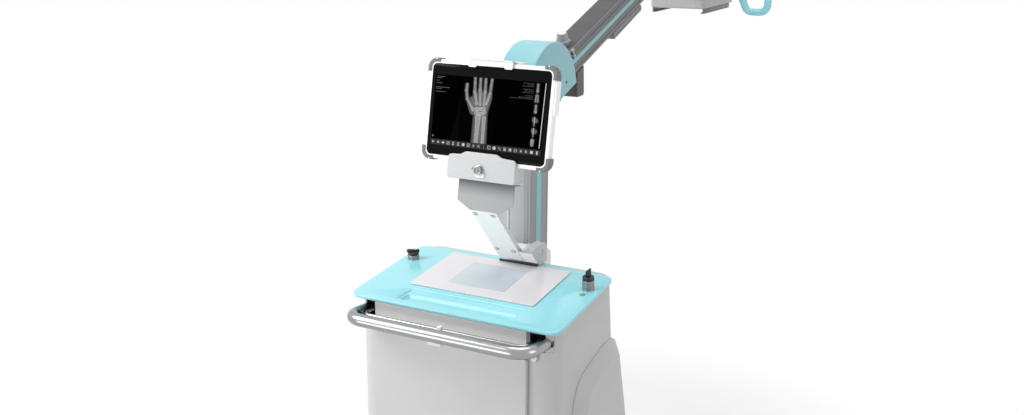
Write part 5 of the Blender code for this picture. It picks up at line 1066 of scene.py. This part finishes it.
def build_tablet():
    half, low, high = GLASS_HALF + RIM, -RIM, GLASS_TOP + RIM
    case = at(plate((-half, half, low, high, 0.02, 12), CASE_THICK, 0.004, 4),
              lift(-CASE_THICK / 2))
    pocket = at(plate((-GLASS_HALF - GAP, GLASS_HALF + GAP, -GAP, GLASS_TOP + GAP, 0.012,
                                10), 0.0086, 0, 0), lift(0.002))
    groove = at(slab([rectangle(-half - 0.01, half + 0.01, low - 0.01, high + 0.01, 0.025),
                      rectangle(-half + 0.0008, half - 0.0008, low + 0.0008, high - 0.0008,
                                0.0192, 12)], 0.0012, 0, 0), lift(-0.0135))
    shell = carve(case, [pocket, groove])
    show("tablet_shell", at(shell, TABLET), CASE_WHITE, "tablet", ["tablet_case"])
    pane = plate((-GLASS_HALF, GLASS_HALF, 0.0, GLASS_TOP, 0.012, 10), 0.002, 0.0004, 2)
    show("tablet_screen", at(pane, TABLET, lift(-0.001)), GLASS, "tablet",
         ["tablet_glass"])
    grow, reach, radius = 0.003, 0.03, 0.02
    inner = 0.007
    for k, (sx, sy) in enumerate(((-1, -1), (1, -1), (1, 1), (-1, 1))):
        outer_arc = arc((-radius, -radius), radius + grow, math.pi / 2, 0.0, 12)
        inner_arc = arc((-radius, -radius), radius - inner, 0.0, math.pi / 2, 12)
        shape = [(-reach, grow)] + outer_arc + [(grow, -reach), (-inner, -reach)] + inner_arc
        shape += [(-reach, -inner)]
        corner_y = high if sy > 0 else low
        points = [(sx * (half + px), corner_y + sy * py) for px, py in shape]
        if sx * sy < 0:
            points = points[::-1]
        wrap = slab([points], CASE_THICK + 0.0026, 0.0012, 3)
        ribs = []
        for share in (0.25, 0.5, 0.75):
            angle = math.pi / 2 * share
            px = -radius + (radius + grow) * math.cos(angle)
            py = -radius + (radius + grow) * math.sin(angle)
            ribs.append(at(rod(0.0016, 0.03, 16, 0.0002),
                           move(sx * (half + px), corner_y + sy * py)))
        name = ("low_left", "low_right", "high_right", "high_left")[k]
        show("tablet_bumper_" + name, at(carve(wrap, ribs), TABLET, lift(-CASE_THICK / 2)),
             BUMPER, "tablet", sharp=35)
        # A small white disc on each bumper: a painted glint where the rounded rubber catches the
        # light.
        glint_at = move(sx * (half - 0.0195), corner_y + sy * 0.0008, 0.0013)
        show("tablet_bumper_painted_glint_" + name,
             at(rod(0.0016, 0.0006, 24, 0.0001), TABLET, glint_at), CASE_WHITE, "tablet")
    strip = plate((-0.0115, 0.0115, 0.118, 0.1965, 0.0025), 0.0052, 0.0012, 3)
    show("tablet_side_keys", at(strip, TABLET, move(half + 0.0008, 0, -0.0135), turn("Y", 90)),
         CASE_WHITE, "tablet")


build_tablet()


def build_holder():
    lip_z = 0.006
    outline = rounded([(0.0895, -0.05, 0.006), (0.0895, 0.0065, 0.009), (0.0525, 0.009, 0.006),
                       (0.0375, 0.016, 0.009), (-0.044, 0.016, 0.009),
                       (-0.0575, 0.0085, 0.006), (-0.0905, 0.0065, 0.009),
                       (-0.0905, -0.05, 0.006)], 8)
    lip = at(slab([outline], 0.006, 0.0018, 4), lift(lip_z))
    case_back = -CASE_THICK - GAP
    clamp_top = GLASS_TOP + RIM + GAP
    ledge_top = -RIM - GAP
    joins = [
        block((-0.0865, -0.05, -0.043), (0.0865, -0.046, 0.005), 0.0006, 1),
        block((-0.045, -0.049, case_back - 0.006), (0.045, clamp_top + 0.003, case_back),
              0.0008, 1),
        block((-0.058, clamp_top, case_back - 0.006), (0.058, clamp_top + 0.006, 0.007),
              0.0016, 3),
        block((-0.0855, ledge_top - 0.004, case_back - 0.002), (0.0855, ledge_top, 0.005),
              0.0006, 1),
    ]
    front_bar = plate((-0.058, 0.058, GLASS_TOP + 0.0005, clamp_top + 0.006, 0.003, 5),
                     0.004, 0.0014, 3)
    clamp = [at(front_bar, lift(0.005))]
    for side in (-1, 1):
        a, b = sorted((side * 0.058, side * 0.037))
        hook = plate((a, b, clamp_top - 0.014, clamp_top + 0.006, 0.004, 6), 0.004,
                    0.0012, 3)
        clamp.append(at(hook, lift(0.005)))
    clamp.append(block((-0.058, clamp_top - 0.0001, -0.0232), (0.058, clamp_top + 0.0062, 0.0068),
                       0.0016, 3))
    show("clamp_face", at(carve(clamp[0], [], clamp[1:]), TABLET), CASE_WHITE, "tablet")
    holder = carve(lip, [], joins)
    show("holder_shell", at(holder, TABLET), HOLDER, "tablet", ["tablet_holder"])
    slide = at(plate((-0.012, 0.022, -0.007, 0.007, 0.0066), 0.005, 0.0016, 3),
               turn("X", 90))
    show("clamp_slide_cap", at(slide, TABLET, move(0.06, clamp_top + 0.0035, -0.012)), LIGHT,
         "tablet")
    lock_at = move(-0.0045, -0.0252, 0.0093)
    lock = [(0, 0.0076), (0.0036, 0.0076), (0.004, 0.0064), (0.0068, 0.0064), (0.0074, 0.0086),
            (0.009, 0.0086), (0.01, 0.008), (0.0104, 0.0068), (0.0104, 0.0012),
            (0.0122, 0.0006), (0.0122, 0.0), (0, 0)]
    key_hole = block((-0.0008, -0.0026, 0.004), (0.0008, 0.0026, 0.01), 0)
    barrel = carve(revolve(lock, 56), [at(key_hole, turn("Z", 20))])
    show("lock_barrel", at(barrel, TABLET, lock_at), BRUSHED, "tablet", ["holder_lock"])
    boss = slab([rounded([(-0.008, -0.0085, 0.005), (0.016, -0.0085, 0.005), (0.016, 0.002, 0.005),
                          (-0.008, 0.002, 0.003)], 6)], 0.003, 0.0011, 3)
    show("lock_boss", at(boss, TABLET, move(-0.004, -0.0335, 0.0102)), WHITE, "tablet")
    cam = slab([rounded([(-0.0045, -0.003, 0.0026), (0.006, -0.003, 0.0026), (0.006, 0.003, 0.0026),
                         (-0.0045, 0.003, 0.0026)], 6)], 0.003, 0.0008, 2)
    show("lock_cam", at(cam, TABLET, lock_at, move(-0.0135, 0.003, 0.003)), STEEL, "tablet")

    top = -0.0503
    wide, high, bottom = 0.036, 0.02, -0.122
    left, right = -0.065, 0.0835   # a little right of the lip
    shape = [(right, top), (right, bottom + high), (right - wide, bottom),
             (left + wide, bottom), (left, bottom + high), (left, top)]
    face = at(slab([shape], 0.004, 0.0009, 2), lift(-0.01))
    flange = block((left + 0.002, top - 0.004, -0.043), (right - 0.002, top, -0.009), 0.0006, 1)
    show("bracket_face", at(carve(face, [], [flange]), TABLET), BRACKET, "tablet",
         ["bracket_plate"])


build_holder()


def build_arm_plate():
    """The tablet's folding arm: finer copies of the CAD pieces, and the cover's four screws."""
    squeeze = move(0.0027) @ Matrix.Diagonal((0.0665 / 0.071, 1, 1, 1))
    narrow = WORLD @ move(TABLET_X) @ squeeze @ move(-TABLET_X) @ WORLD.inverted()
    for name, node, look, slot, edge in (
            ("tablet_bracket", "tablet_arm", LIGHT, "bright_grey", 0.0009),
            ("tablet_bracket_cover", "tablet_arm_cover", COVER_WHITE, "white", 0.0005)):
        made = refine(name, node, look, "tablet", edge, 1)
        made.data.transform(narrow)
    low, high = Vector((0.31, 0.9205)), Vector((0.158, 1.083))
    along = (high - low).normalized()
    tilt = math.degrees(math.atan2(along.y, along.x))
    for k, (x, share) in enumerate(((-0.024, 0.2), (0.024, 0.2), (-0.024, 0.93), (0.024, 0.93))):
        spot = low.lerp(high, share)
        place = WORLD @ move(TABLET_X + x, spot.x, spot.y) @ turn("X", tilt)
        show(f"cover_plate_screw_{k + 1}", at(bolt(0.0052, 0.0026), place), LIGHT, "tablet")
        recess = revolve([(0.0053, 0.0001), (0.0066, 0.0001), (0.0066, 0.0003), (0.0053, 0.0003)],
                         36, True)
        show(f"cover_plate_recess_{k + 1}", at(recess, place), STEEL, "tablet")
    build_hinge(low, along, tilt)


def build_hinge(low, along, tilt):
    """The hinge base: a barrel behind the front plate and a round-topped end block."""
    y, z = HINGE_Y, HINGE_Z
    inward = Vector((along.y, -along.x))
    foot = low - Vector((y, z))
    top = foot + along * 0.0455
    seat = [(-0.0094, -0.0263), (-0.0094, -0.0333), (0.0141, -0.0313)]
    web = [*seat, *arc((0, 0), 0.0195, math.radians(-55), math.radians(190), 40),
           tuple(foot + along * 0.014 + inward * 0.003), tuple(top + inward * 0.003), tuple(top),
           tuple(foot)]
    body = at(slab([web], 0.017, 0.0006, 1), move(0.0495, y, z), SIDEWAYS)
    lug = rounded([(*seat[0], 0.0), (*seat[1], 0.0), (*seat[2], 0.0), (0.0375, -0.0273, 0.003),
                   (0.0375, 0.024, 0.026), (-0.03, 0.024, 0.016),
                   (top.x + 0.002, top.y + 0.003, 0.0), (*top, 0.0), (*foot, 0.0)], 14)
    lug = at(slab([lug], 0.0235, 0.0016, 4), move(0.068, y, z), SIDEWAYS)
    ring_cut = at(rod(0.0094, 0.003, 48, 0), move(0.08, y + 0.005, z), ALONG_X)
    screw_cut = at(rod(0.0022, 0.004, 24), move(0.079, y - 0.0125, z + 0.001), ALONG_X)
    pin = at(rod(0.009, 0.073, 32), move(0.006, y, z), ALONG_X)
    made = carve(body, [ring_cut, screw_cut], [lug, pin])
    show("tablet_hinge_block", at(made, WORLD), HINGE_PAINTED_SHADE, "cart", ["tablet_hinge_base"])
    # A black strip on the deck under the front plate: painted shadow in the gap below the hinge.
    strip = block((-0.029, 0.3136, 0.0034), (0.0785, 0.3158, 0.0092), 0.0006, 2)
    show("hinge_gap_painted_shadow", at(strip, DECK), BLACK, "cart")
    # The front plate carries the block's own white; the rest of the block is painted shade in a
    # darker grey.
    front = plate((0.0434, 0.0792, 0.0004, 0.0452, 0.001), 0.0008, 0.0003, 2)
    show("hinge_front_plate", at(front, WORLD, move(0, low.x, low.y), turn("X", tilt),
                                 lift(0.0003)), COVER_WHITE, "cart")


# The hinge block's grey is painted shade: a darker copy of the white that its front plate carries.
HINGE_PAINTED_SHADE = finish("hinge_grey_painted_shade", (188, 189, 190), 0.4, drift=0.012, grain=0.00002, wear=0.15)
COVER_WHITE = finish("cover_plate_white", (254, 254, 255), 0.3, drift=0.008, grain=0.00001,
                     wear=0.1)
build_arm_plate()


# Screen

SCREEN_LEFT, SCREEN_RIGHT, SCREEN_LOW, SCREEN_HIGH = -0.1475, 0.1455, 0.0235, 0.1915
BAR_TOP = 0.0375               # top of the tool strip
TOOL_START, TOOL_STEP = SCREEN_LEFT + 0.0073, 0.01382
FINGERS = (                    # base of each metacarpal, knuckle, fingertip
    ((-0.0312, 0.1295), (-0.0381, 0.1576), (-0.0404, 0.2)),
    ((-0.0218, 0.1284), (-0.0245, 0.1624), (-0.0257, 0.21)),
    ((-0.011, 0.1293), (-0.0107, 0.1587), (-0.012, 0.206)),
    ((-0.0048, 0.1317), (0.0026, 0.155), (0.0052, 0.1935)),
)
THUMB = ((-0.0388, 0.1136), (-0.0566, 0.139), (-0.0606, 0.1578), (-0.0602, 0.1725))
PALM = (                       # start, end and their radii, with the wrist and the thumb's root
    ((-0.0255, 0.106), (-0.0345, 0.149), 0.013, 0.0095),
    ((-0.012, 0.106), (0.0, 0.146), 0.0125, 0.0098),
    ((-0.018, 0.11), (-0.0175, 0.15), 0.013, 0.012),
    ((-0.033, 0.118), (-0.043, 0.139), 0.0125, 0.0085),
    ((-0.024, 0.03), (-0.024, 0.108), 0.015, 0.014),
    ((-0.009, 0.03), (-0.011, 0.108), 0.014, 0.0125),
    ((-0.038, 0.113), (-0.051, 0.133), 0.012, 0.008),
)
CARPALS = ((-0.03, 0.1075), (-0.0225, 0.1062), (-0.0148, 0.1072), (-0.008, 0.11),
           (-0.031, 0.1168), (-0.0245, 0.1165), (-0.0175, 0.118), (-0.0105, 0.119))


def limb(x, y, start, end, radius_start, radius_end, flare=0.0):
    """Where points lie across a tapered limb, from 0 on its axis to 1 at its edge and more."""
    (ax, ay), (bx, by) = start, end
    run = (bx - ax) ** 2 + (by - ay) ** 2
    share = np.clip(((x - ax) * (bx - ax) + (y - ay) * (by - ay)) / run, 0.0, 1.0)
    radius = radius_start + (radius_end - radius_start) * share
    radius = radius * (1 + flare * np.abs(2 * share - 1) ** 3)
    off = np.hypot(x - ax - share * (bx - ax), y - ay - share * (by - ay))
    return off / radius, radius


def flesh(glow, x, y, *limb_sizes):
    across, radius = limb(x, y, *limb_sizes)
    depth = np.sqrt(np.clip(1 - across ** 2, 0, 1)) * np.minimum(radius / 0.01, 1.0) ** 0.5
    return np.maximum(glow, 0.44 * depth ** 0.6)


def bone(glow, x, y, *limb_sizes):
    across, _ = limb(x, y, *limb_sizes)
    inside = np.clip((1.0 - across) / 0.25, 0, 1)
    wall = np.exp(-((across - 0.75) / 0.22) ** 2)
    return np.maximum(glow, inside * (0.16 + 0.1 * wall))


def hand_glow(x, y):
    """Brightness of the hand's picture: flesh by its depth, bone by its walls."""
    glow = np.zeros_like(x)
    for base, knuckle, tip in FINGERS:
        glow = flesh(glow, x, y, base, knuckle, 0.0085, 0.0068)
        glow = flesh(glow, x, y, knuckle, tip, 0.006, 0.0048)
    for limb_sizes in PALM:
        glow = flesh(glow, x, y, *limb_sizes)
    for near, far in zip(THUMB[1:], THUMB[2:]):
        glow = flesh(glow, x, y, near, far, 0.0064, 0.0056)
    tissue, glow = glow, np.zeros_like(x)
    for base, knuckle, tip in FINGERS:
        glow = bone(glow, x, y, base, knuckle, 0.003, 0.0032, 0.35)
        joints = [0.03, 0.47, 0.52, 0.78, 0.81, 0.97]
        points = [tuple(np.array(knuckle) * (1 - k) + np.array(tip) * k) for k in joints]
        for k in (0, 2, 4):
            glow = bone(glow, x, y, points[k], points[k + 1], 0.0028, 0.0024, 0.3)
    for near, far in zip(THUMB, THUMB[1:]):
        start = tuple(np.array(near) * 0.96 + np.array(far) * 0.04)
        glow = bone(glow, x, y, start, far, 0.0032, 0.0028, 0.3)
    for cx, cy in CARPALS:
        glow = bone(glow, x, y, (cx - 0.0008, cy), (cx + 0.0008, cy + 0.001), 0.0052, 0.005)
    glow = bone(glow, x, y, (-0.0245, 0.03), (-0.024, 0.0985), 0.0048, 0.007, 0.25)
    glow = bone(glow, x, y, (-0.007, 0.03), (-0.0078, 0.0975), 0.004, 0.005, 0.2)
    return np.clip(tissue + glow, 0.0, 1.0)


def thumb_glow(x, y):
    """Small pictures in a column at the right of the screen."""
    glow = np.zeros_like(x)
    for k, top in enumerate((0.19, 0.166, 0.142, 0.113, 0.088, 0.063)):
        middle = 0.1213 + (top - 0.05) * 0.02
        tile = (np.abs(x - middle) < 0.0056) & (np.abs(y - top + 0.0105) < 0.0098)
        glow = np.where(tile, 0.12, glow)
        if k in (0, 2):
            glow = flesh(glow, x, y, (middle, top - 0.019), (middle, top - 0.004), 0.0048, 0.0036)
            glow += bone(0 * x, x, y, (middle, top - 0.019), (middle, top - 0.005), 0.0026,
                         0.002, 0.6)
        elif k == 1:
            for side in (-1, 1):
                leg = middle + side * 0.0028
                glow = flesh(glow, x, y, (leg, top - 0.019), (middle, top - 0.003), 0.004, 0.0036)
                glow += bone(0 * x, x, y, (leg, top - 0.018), (leg, top - 0.006), 0.0014,
                             0.0018, 0.6)
        elif k in (3, 4):
            glow = flesh(glow, x, y, (middle - 0.0045, top - 0.008), (middle + 0.0045, top - 0.01),
                         0.006, 0.006)
            spine = limb(x, y, (middle, top - 0.017), (middle, top - 0.003), 0.0016, 0.0016)[0]
            glow = np.where(spine < 1, np.maximum(glow, 0.62), glow)
            spot = limb(x, y, (middle - 0.0008, top - 0.0215), (middle + 0.0008, top - 0.0215),
                        0.0016, 0.0016)[0]
            glow = np.where(spot < 1, 0.4, glow)
        else:
            glow = flesh(glow, x, y, (middle - 0.001, top - 0.016), (middle, top - 0.006), 0.005,
                         0.006)
            glow += bone(0 * x, x, y, (middle, top - 0.015), (middle, top - 0.007), 0.0044, 0.0052)
    return np.clip(glow * 1.05, 0.0, 1.0)


def picture(name, glow_at, left, right, low, high, cell=0.0006):
    """A lit grid on the glass whose points carry the brightness that a formula gives."""
    columns, rows = round((right - left) / cell) + 1, round((high - low) / cell) + 1
    x, y = np.meshgrid(np.linspace(left, right, columns), np.linspace(low, high, rows))
    glow = glow_at(x, y) * (1 + 0.1 * np.random.default_rng(7).standard_normal(x.shape))
    points = np.stack([x.ravel(), y.ravel(), np.full(x.size, 0.0002)], axis=1)
    corner = (np.arange(rows - 1)[:, None] * columns + np.arange(columns - 1)[None, :]).ravel()
    faces = np.stack([corner, corner + 1, corner + columns + 1, corner + columns], axis=1)
    mesh = bpy.data.meshes.new(name)
    mesh.from_pydata(points.tolist(), [], faces.tolist())
    layer = mesh.attributes.new("glow", "FLOAT", "POINT")
    layer.data.foreach_set("value", np.clip(glow, 0.0, 1.0).ravel() ** 2.2)
    show(name, at(mesh, TABLET), PICTURE, "tablet")


def glowing(n, strength):
    """A dark surface that shines white by a strength."""
    dark = (0.001, 0.001, 0.001, 1)
    for key, value in (("Base Color", dark), ("Roughness", 0.3), ("Specular IOR Level", 0.0),
                       ("Emission Color", (1, 1, 1, 1)), ("Emission Strength", strength)):
        n.feed(n.shader, key, value)
    return n.look


def lit(name, brightness):
    """A flat part of the screen that glows evenly, with a faint cell pattern."""
    n = Nodes(name)
    level = (brightness / 255) ** 2.2
    n.look.diffuse_color = (level, level, level, 1)
    return glowing(n, n.span(n.noise(2500.0, 1.0), 0.3, 0.7, level * 0.85, level * 1.1))


def picture_look():
    n = Nodes("screen_picture")
    return glowing(n, n.add("Attribute", attribute_name="glow").outputs["Fac"])


def sheet(outlines, level=0.0003):
    return at(slab(outlines, 0.0001, 0, 0), lift(level))


def disc(x, y, radius, steps=24):
    return arc((x, y), radius, 0, math.tau, steps)[:-1]


def box(x, y, wide, high, radius=0.0003, steps=2):
    """A small rectangle by its middle and half sizes."""
    return rectangle(x - wide, x + wide, y - high, y + high, radius, steps)


def frame_of(x, y, half, wide):
    return [box(x, y, half, half), box(x, y, half - wide, half - wide)]


def stroke(x0, y0, x1, y1, wide):
    along = Vector((x1 - x0, y1 - y0)).normalized() * wide / 2
    return [(x0 - along.y, y0 + along.x), (x1 - along.y, y1 + along.x),
            (x1 + along.y, y1 - along.x), (x0 + along.y, y0 - along.x)]


def tool_icons():
    """Plain signs of a viewer's tool strip, each about 6 mm wide."""
    y = (SCREEN_LOW + BAR_TOP) / 2 - 0.0002
    x = [TOOL_START + TOOL_STEP * (i + (i > 9)) for i in range(20)]
    w = 0.0007

    def triangle(k, side):
        return [(x[k] - side * 0.002, y - 0.003), (x[k] + side * 0.0024, y),
                (x[k] - side * 0.002, y + 0.003)]

    def line(k, x0, y0, x1, y1, wide=w):
        return stroke(x[k] + x0, y + y0, x[k] + x1, y + y1, wide)

    signs = [[triangle(0, 1)], [box(x[1], y, 0.002, 0.002, 0.0008, 8)],
             [box(x[2], y, 0.0034, 0.002, 0.0009, 8)],
             frame_of(x[3], y, 0.0034, w), [line(3, -0.002, -0.002, 0.002, 0.002)]]
    for k in (4, 5):
        for level in (-0.0026, 0.0, 0.0026):
            signs.append([box(x[k], y + level, 0.0026 if level else 0.0012, w)])
    signs += [[disc(x[6], y, 0.0036)],
              frame_of(x[7], y, 0.0036, w), [line(7, -0.002, -0.002, 0.002, 0.002)],
              [line(8, -0.0036, 0, 0.0036, 0)], [line(8, 0, -0.0036, 0, 0.0036)],
              [disc(x[9] - 0.0006, y + 0.0006, r, 20) for r in (0.0024, 0.0024 - w)],
              [line(9, 0.001, -0.001, 0.0032, -0.0032)],
              frame_of(x[10], y, 0.0038, w * 1.2),
              [line(9, TOOL_STEP, -0.004, TOOL_STEP, 0.004, w * 0.4)],
              [disc(x[11], y, 0.0038)], [line(12, -0.003, 0.003, 0.003, -0.003, w * 1.5)],
              frame_of(x[13], y, 0.0034, w), [disc(x[13], y - 0.0004, 0.0017, 16)]]
    for side in (-1, 1):
        signs.append([box(x[14] + side * 0.0018, y, 0.0012, 0.0032)])
    signs += [frame_of(x[15], y, 0.0032, w), [triangle(16, -1)], [triangle(17, 1)],
              [box(x[18], y, 0.0034, 0.003, 0.0008, 8)],
              [box(x[19], y, 0.0016, 0.004, 0.0008, 8)]]
    return gather([sheet(outlines) for outlines in signs])


def text_rows(left, right, rows, from_right=False):
    """Rows of short dashes that stand for lines of writing."""
    dice = np.random.default_rng(11)
    marks = []
    for y, length in rows:
        reach = 0.0
        while reach < length:
            wide = float(dice.uniform(0.001, 0.0042))
            x0 = right - reach - wide if from_right else left + reach
            marks.append(sheet([rectangle(x0, x0 + wide, y - 0.0007, y + 0.0007, 0.0003, 1)]))
            reach += wide + 0.0009
    return gather(marks)


def show_on_screen(name, mesh, look, level=0.0):
    show("screen_" + name, at(mesh, TABLET, lift(level)), look, "tablet")


def build_screen():
    black = plate((SCREEN_LEFT, SCREEN_RIGHT, SCREEN_LOW, SCREEN_HIGH, 0.0005, 2), 0.0001, 0, 0)
    show_on_screen("black", black, SCREEN_BLACK, 0.00008)
    picture("screen_hand", hand_glow, -0.073, 0.019, BAR_TOP, SCREEN_HIGH - 0.0003)
    picture("screen_thumbs", thumb_glow, 0.1165, 0.1345, 0.04, SCREEN_HIGH - 0.0003)
    field = slab([[(-0.0955, BAR_TOP), (-0.0735, BAR_TOP), (-0.0735, 0.15), (-0.08, 0.11)]],
                 0.0001, 0, 0)
    show_on_screen("field", field, lit("screen_dim", 14), 0.00014)
    strip = plate((SCREEN_LEFT, SCREEN_RIGHT, SCREEN_LOW, BAR_TOP, 0.0005, 2), 0.0001, 0, 0)
    show_on_screen("tool_strip", strip, lit("screen_strip", 52), 0.00018)
    tiles = gather([sheet([box(TOOL_START + TOOL_STEP * i, 0.03035, 0.0052, 0.00485, 0.0008, 8)],
                          0.00024) for i in range(21) if i != 10])
    show_on_screen("tiles", tiles, lit("screen_tile", 74))
    show_on_screen("tools", tool_icons(), lit("screen_sign", 205))
    rows = ((0.1868, 0.023), (0.1838, 0.014), (0.1775, 0.009), (0.1715, 0.016), (0.1615, 0.036),
            (0.158, 0.015), (0.151, 0.027))
    show_on_screen("rows_left", text_rows(-0.144, 0, rows), lit("screen_rows", 108))
    rows = ((0.1868, 0.024), (0.1835, 0.017), (0.18, 0.03), (0.173, 0.026), (0.1695, 0.022),
            (0.1655, 0.026), (0.1585, 0.02), (0.1545, 0.034), (0.1515, 0.058))
    show_on_screen("rows_right", text_rows(0, 0.114, rows, True), lit("screen_rows_dim", 84))
    slider = sheet([stroke(0.1405, 0.041, 0.1436, 0.19, 0.0017)])
    show_on_screen("slider", slider, lit("screen_bright", 215))
    corner = sheet([box(SCREEN_LEFT + 0.005, 0.0445, 0.002, 0.002, 0.0008, 8)])
    show_on_screen("corner_sign", corner, lit("screen_mid", 120))


PICTURE = picture_look()
SCREEN_BLACK = finish("screen_black", (2, 2, 2), 0.25, drift=0.05, grain=0.000002, specular=0.0)
build_screen()


# Wheels

def build_wheels():
    for name, side in SIDES:
        place = WORLD @ move(side * WHEEL_X, WHEEL_Y, WHEEL_RADIUS) @ ALONG_X
        half = 0.0225
        rows = [(0.1083, half - 0.003), (0.111, half - 0.0008), (0.1145, half),
                (0.1255, half), (0.1275, half - 0.0005), (0.13, half - 0.0018),
                (0.1335, half - 0.0042), (0.1368, half - 0.0078)]
        for z in (0.0125, 0.0042):
            rows += [(0.1396, z + 0.0012), (0.1398, z + 0.0006), (0.1378, z + 0.0004),
                     (0.1378, z - 0.0004), (0.1398, z - 0.0006)]
        profile = rows + [(r, -h) for r, h in reversed(rows)]
        show("tyre_tread_" + name, at(revolve(profile, 120, True), place), RUBBER,
             "wheel_" + name, ["tyre_" + name], 35)
        face = [(0.0103, half - 0.002), (0.022, half - 0.002), (0.0315, half - 0.0026),
                (0.0338, half - 0.005), (0.0352, 0.009), (0.038, 0.0066), (0.044, 0.0058),
                (0.086, 0.005), (0.091, 0.006), (0.0945, 0.01), (0.0965, half - 0.0075),
                (0.0985, half - 0.0058), (0.106, half - 0.0052), (0.108, half - 0.0062)]
        rim = revolve(face + [(r, -h) for r, h in reversed(face)], 120, True)
        holes = [at(rod(0.0105, 0.05, 28), turn("Z", 60 * i + 30), move(0.065, 0, 0))
                 for i in range(6)]
        show("wheel_disc_" + name, at(carve(rim, holes), place), LIGHT, "wheel_" + name,
             ["rim_" + name], 30)
        nuts = [at(revolve([(0, 0.004), (0.0036, 0.004), (0.0046, 0.0032), (0.0046, 0), (0, 0)], 6),
                   turn("Z", 72 * i), move(0.024, 0, side * (half - 0.0023)),
                   turn("X", 0 if side > 0 else 180)) for i in range(5)]
        show("wheel_nuts_" + name, at(gather(nuts), place), STEEL, "wheel_" + name)
    for name, side in SIDES:
        place = WORLD @ move(side * CASTOR_X, CASTOR_Y, CASTOR_RADIUS) @ ALONG_X
        half = 0.014
        rows = [(0.0053, half + 0.0015), (0.012, half + 0.0015), (0.014, half + 0.0008),
                (0.015, half - 0.003), (0.017, half - 0.0045), (0.033, half - 0.0045),
                (0.0352, half - 0.003), (0.0365, half - 0.0006), (0.04, half),
                (0.044, half - 0.0008), (0.0475, half - 0.0036), (0.0495, half - 0.008),
                (0.05, half - 0.012)]
        wheel = revolve(rows + [(r, -h) for r, h in reversed(rows)], 72, True)
        show("castor_tread_" + name, at(wheel, place), RUBBER, f"castor_{name}_wheel",
             ["castor_wheel_" + name], 35)
        refine("castor_yoke_" + name, "castor_fork_" + name, STEEL, "castor_" + name,
               0.0012, 2)
        shape = [(0, 0.0032), (0.004, 0.0032), (0.0052, 0.0024), (0.0052, 0), (0, 0)]
        nuts = [at(revolve(shape, 6), place, lift(end * 0.021), turn("X", 90 - 90 * end))
                for end in (-1, 1)]
        show("castor_nuts_" + name, gather(nuts), STEEL, "castor_" + name)


build_wheels()


# Stage, light and camera

def build_stage():
    floor_mesh = bpy.data.meshes.new("floor")
    side = 60.0
    floor_mesh.from_pydata([(-side, -side, 0), (side, -side, 0), (side, side, 0), (-side, side, 0)],
                           [], [(0, 1, 2, 3)])
    floor = bpy.data.objects.new("floor", floor_mesh)
    floor.location = (0, 0, -0.0005)
    SCENE.collection.objects.link(floor)
    n = Nodes("floor_pale")
    where = n.add("TexCoord").outputs["Object"]
    away = n.add("VectorMath", {0: where}, operation="LENGTH").outputs["Value"]
    share = n.span(away, 0.55, 1.15, 0.0, 1.0)
    rays = n.add("LightPath").outputs
    seen = n.math("MAXIMUM", n.math("MAXIMUM", rays["Is Camera Ray"], rays["Is Glossy Ray"]),
                  rays["Is Transmission Ray"])
    drift = n.span(n.noise(3.0, 3.0), 0.3, 0.7, 0.86, 0.9)
    tone = n.add("CombineColor", {0: drift, 1: drift, 2: drift}).outputs[0]
    n.feed(n.shader, "Base Color", tone)
    n.feed(n.shader, "Roughness", 0.7)
    glow = n.add("Emission", {"Color": (1, 1, 1, 1), "Strength": 1.0})
    mix = n.add("MixShader", {0: n.math("MULTIPLY", seen, share)})
    n.tree.links.new(n.shader.outputs[0], mix.inputs[1])
    n.tree.links.new(glow.outputs[0], mix.inputs[2])
    n.tree.links.new(mix.outputs[0], n.output.inputs["Surface"])
    floor_mesh.materials.append(n.look)

    world = bpy.data.worlds.new("studio")
    SCENE.world = world
    world.use_nodes = True
    tree = world.node_tree
    back = tree.nodes["Background"]
    back.inputs["Color"].default_value = (1, 1, 1, 1)
    path_node = tree.nodes.new("ShaderNodeLightPath")
    most = []
    for name in ("Is Camera Ray", "Is Glossy Ray", "Is Transmission Ray"):
        most.append(path_node.outputs[name])
    total = most[0]
    for other in most[1:]:
        step = tree.nodes.new("ShaderNodeMath")
        step.operation = "MAXIMUM"
        tree.links.new(total, step.inputs[0])
        tree.links.new(other, step.inputs[1])
        total = step.outputs[0]
    strength = tree.nodes.new("ShaderNodeMapRange")
    tree.links.new(total, strength.inputs["Value"])
    strength.inputs["To Min"].default_value = WORLD_LIGHT
    strength.inputs["To Max"].default_value = 1.0
    tree.links.new(strength.outputs[0], back.inputs["Strength"])


def lamp(name, power, size, at_point, target):
    light = bpy.data.lights.new(name, "AREA")
    light.energy = power
    light.shape = "RECTANGLE"
    light.size, light.size_y = size
    made = bpy.data.objects.new(name, light)
    made.location = at_point
    made.rotation_euler = (Vector(target) - Vector(at_point)).to_track_quat("-Z", "Y").to_euler()
    SCENE.collection.objects.link(made)


WORLD_LIGHT = 0.42
build_stage()
lamp("key", 150, (2.4, 2.4), (-3.0, -2.6, 3.6), (0, -0.2, 0.9))
lamp("side", 18, (1.6, 1.6), (3.4, -0.4, 1.5), (0, -0.2, 1.0))
lamp("front", 22, (2.0, 1.2), (-0.9, -3.4, 0.55), (0, -0.5, 1.0))
lamp("top", 60, (2.5, 2.5), (0.2, 0.0, 4.2), (0, 0, 0.9))


def build_camera():
    lens = bpy.data.cameras.new("camera")
    made = bpy.data.objects.new("camera", lens)
    SCENE.collection.objects.link(made)
    yaw, pitch = math.radians(28.37), math.radians(14.3)
    made.location = (1.155, -2.8766, 1.7593)
    made.rotation_euler = (math.pi / 2 - pitch, 0.0, yaw)
    lens.sensor_width = 36.0
    lens.lens = 37.09
    lens.shift_x = 0.0267
    lens.shift_y = -0.0209
    SCENE.camera = made


build_camera()
SCENE.view_settings.view_transform = "Standard"
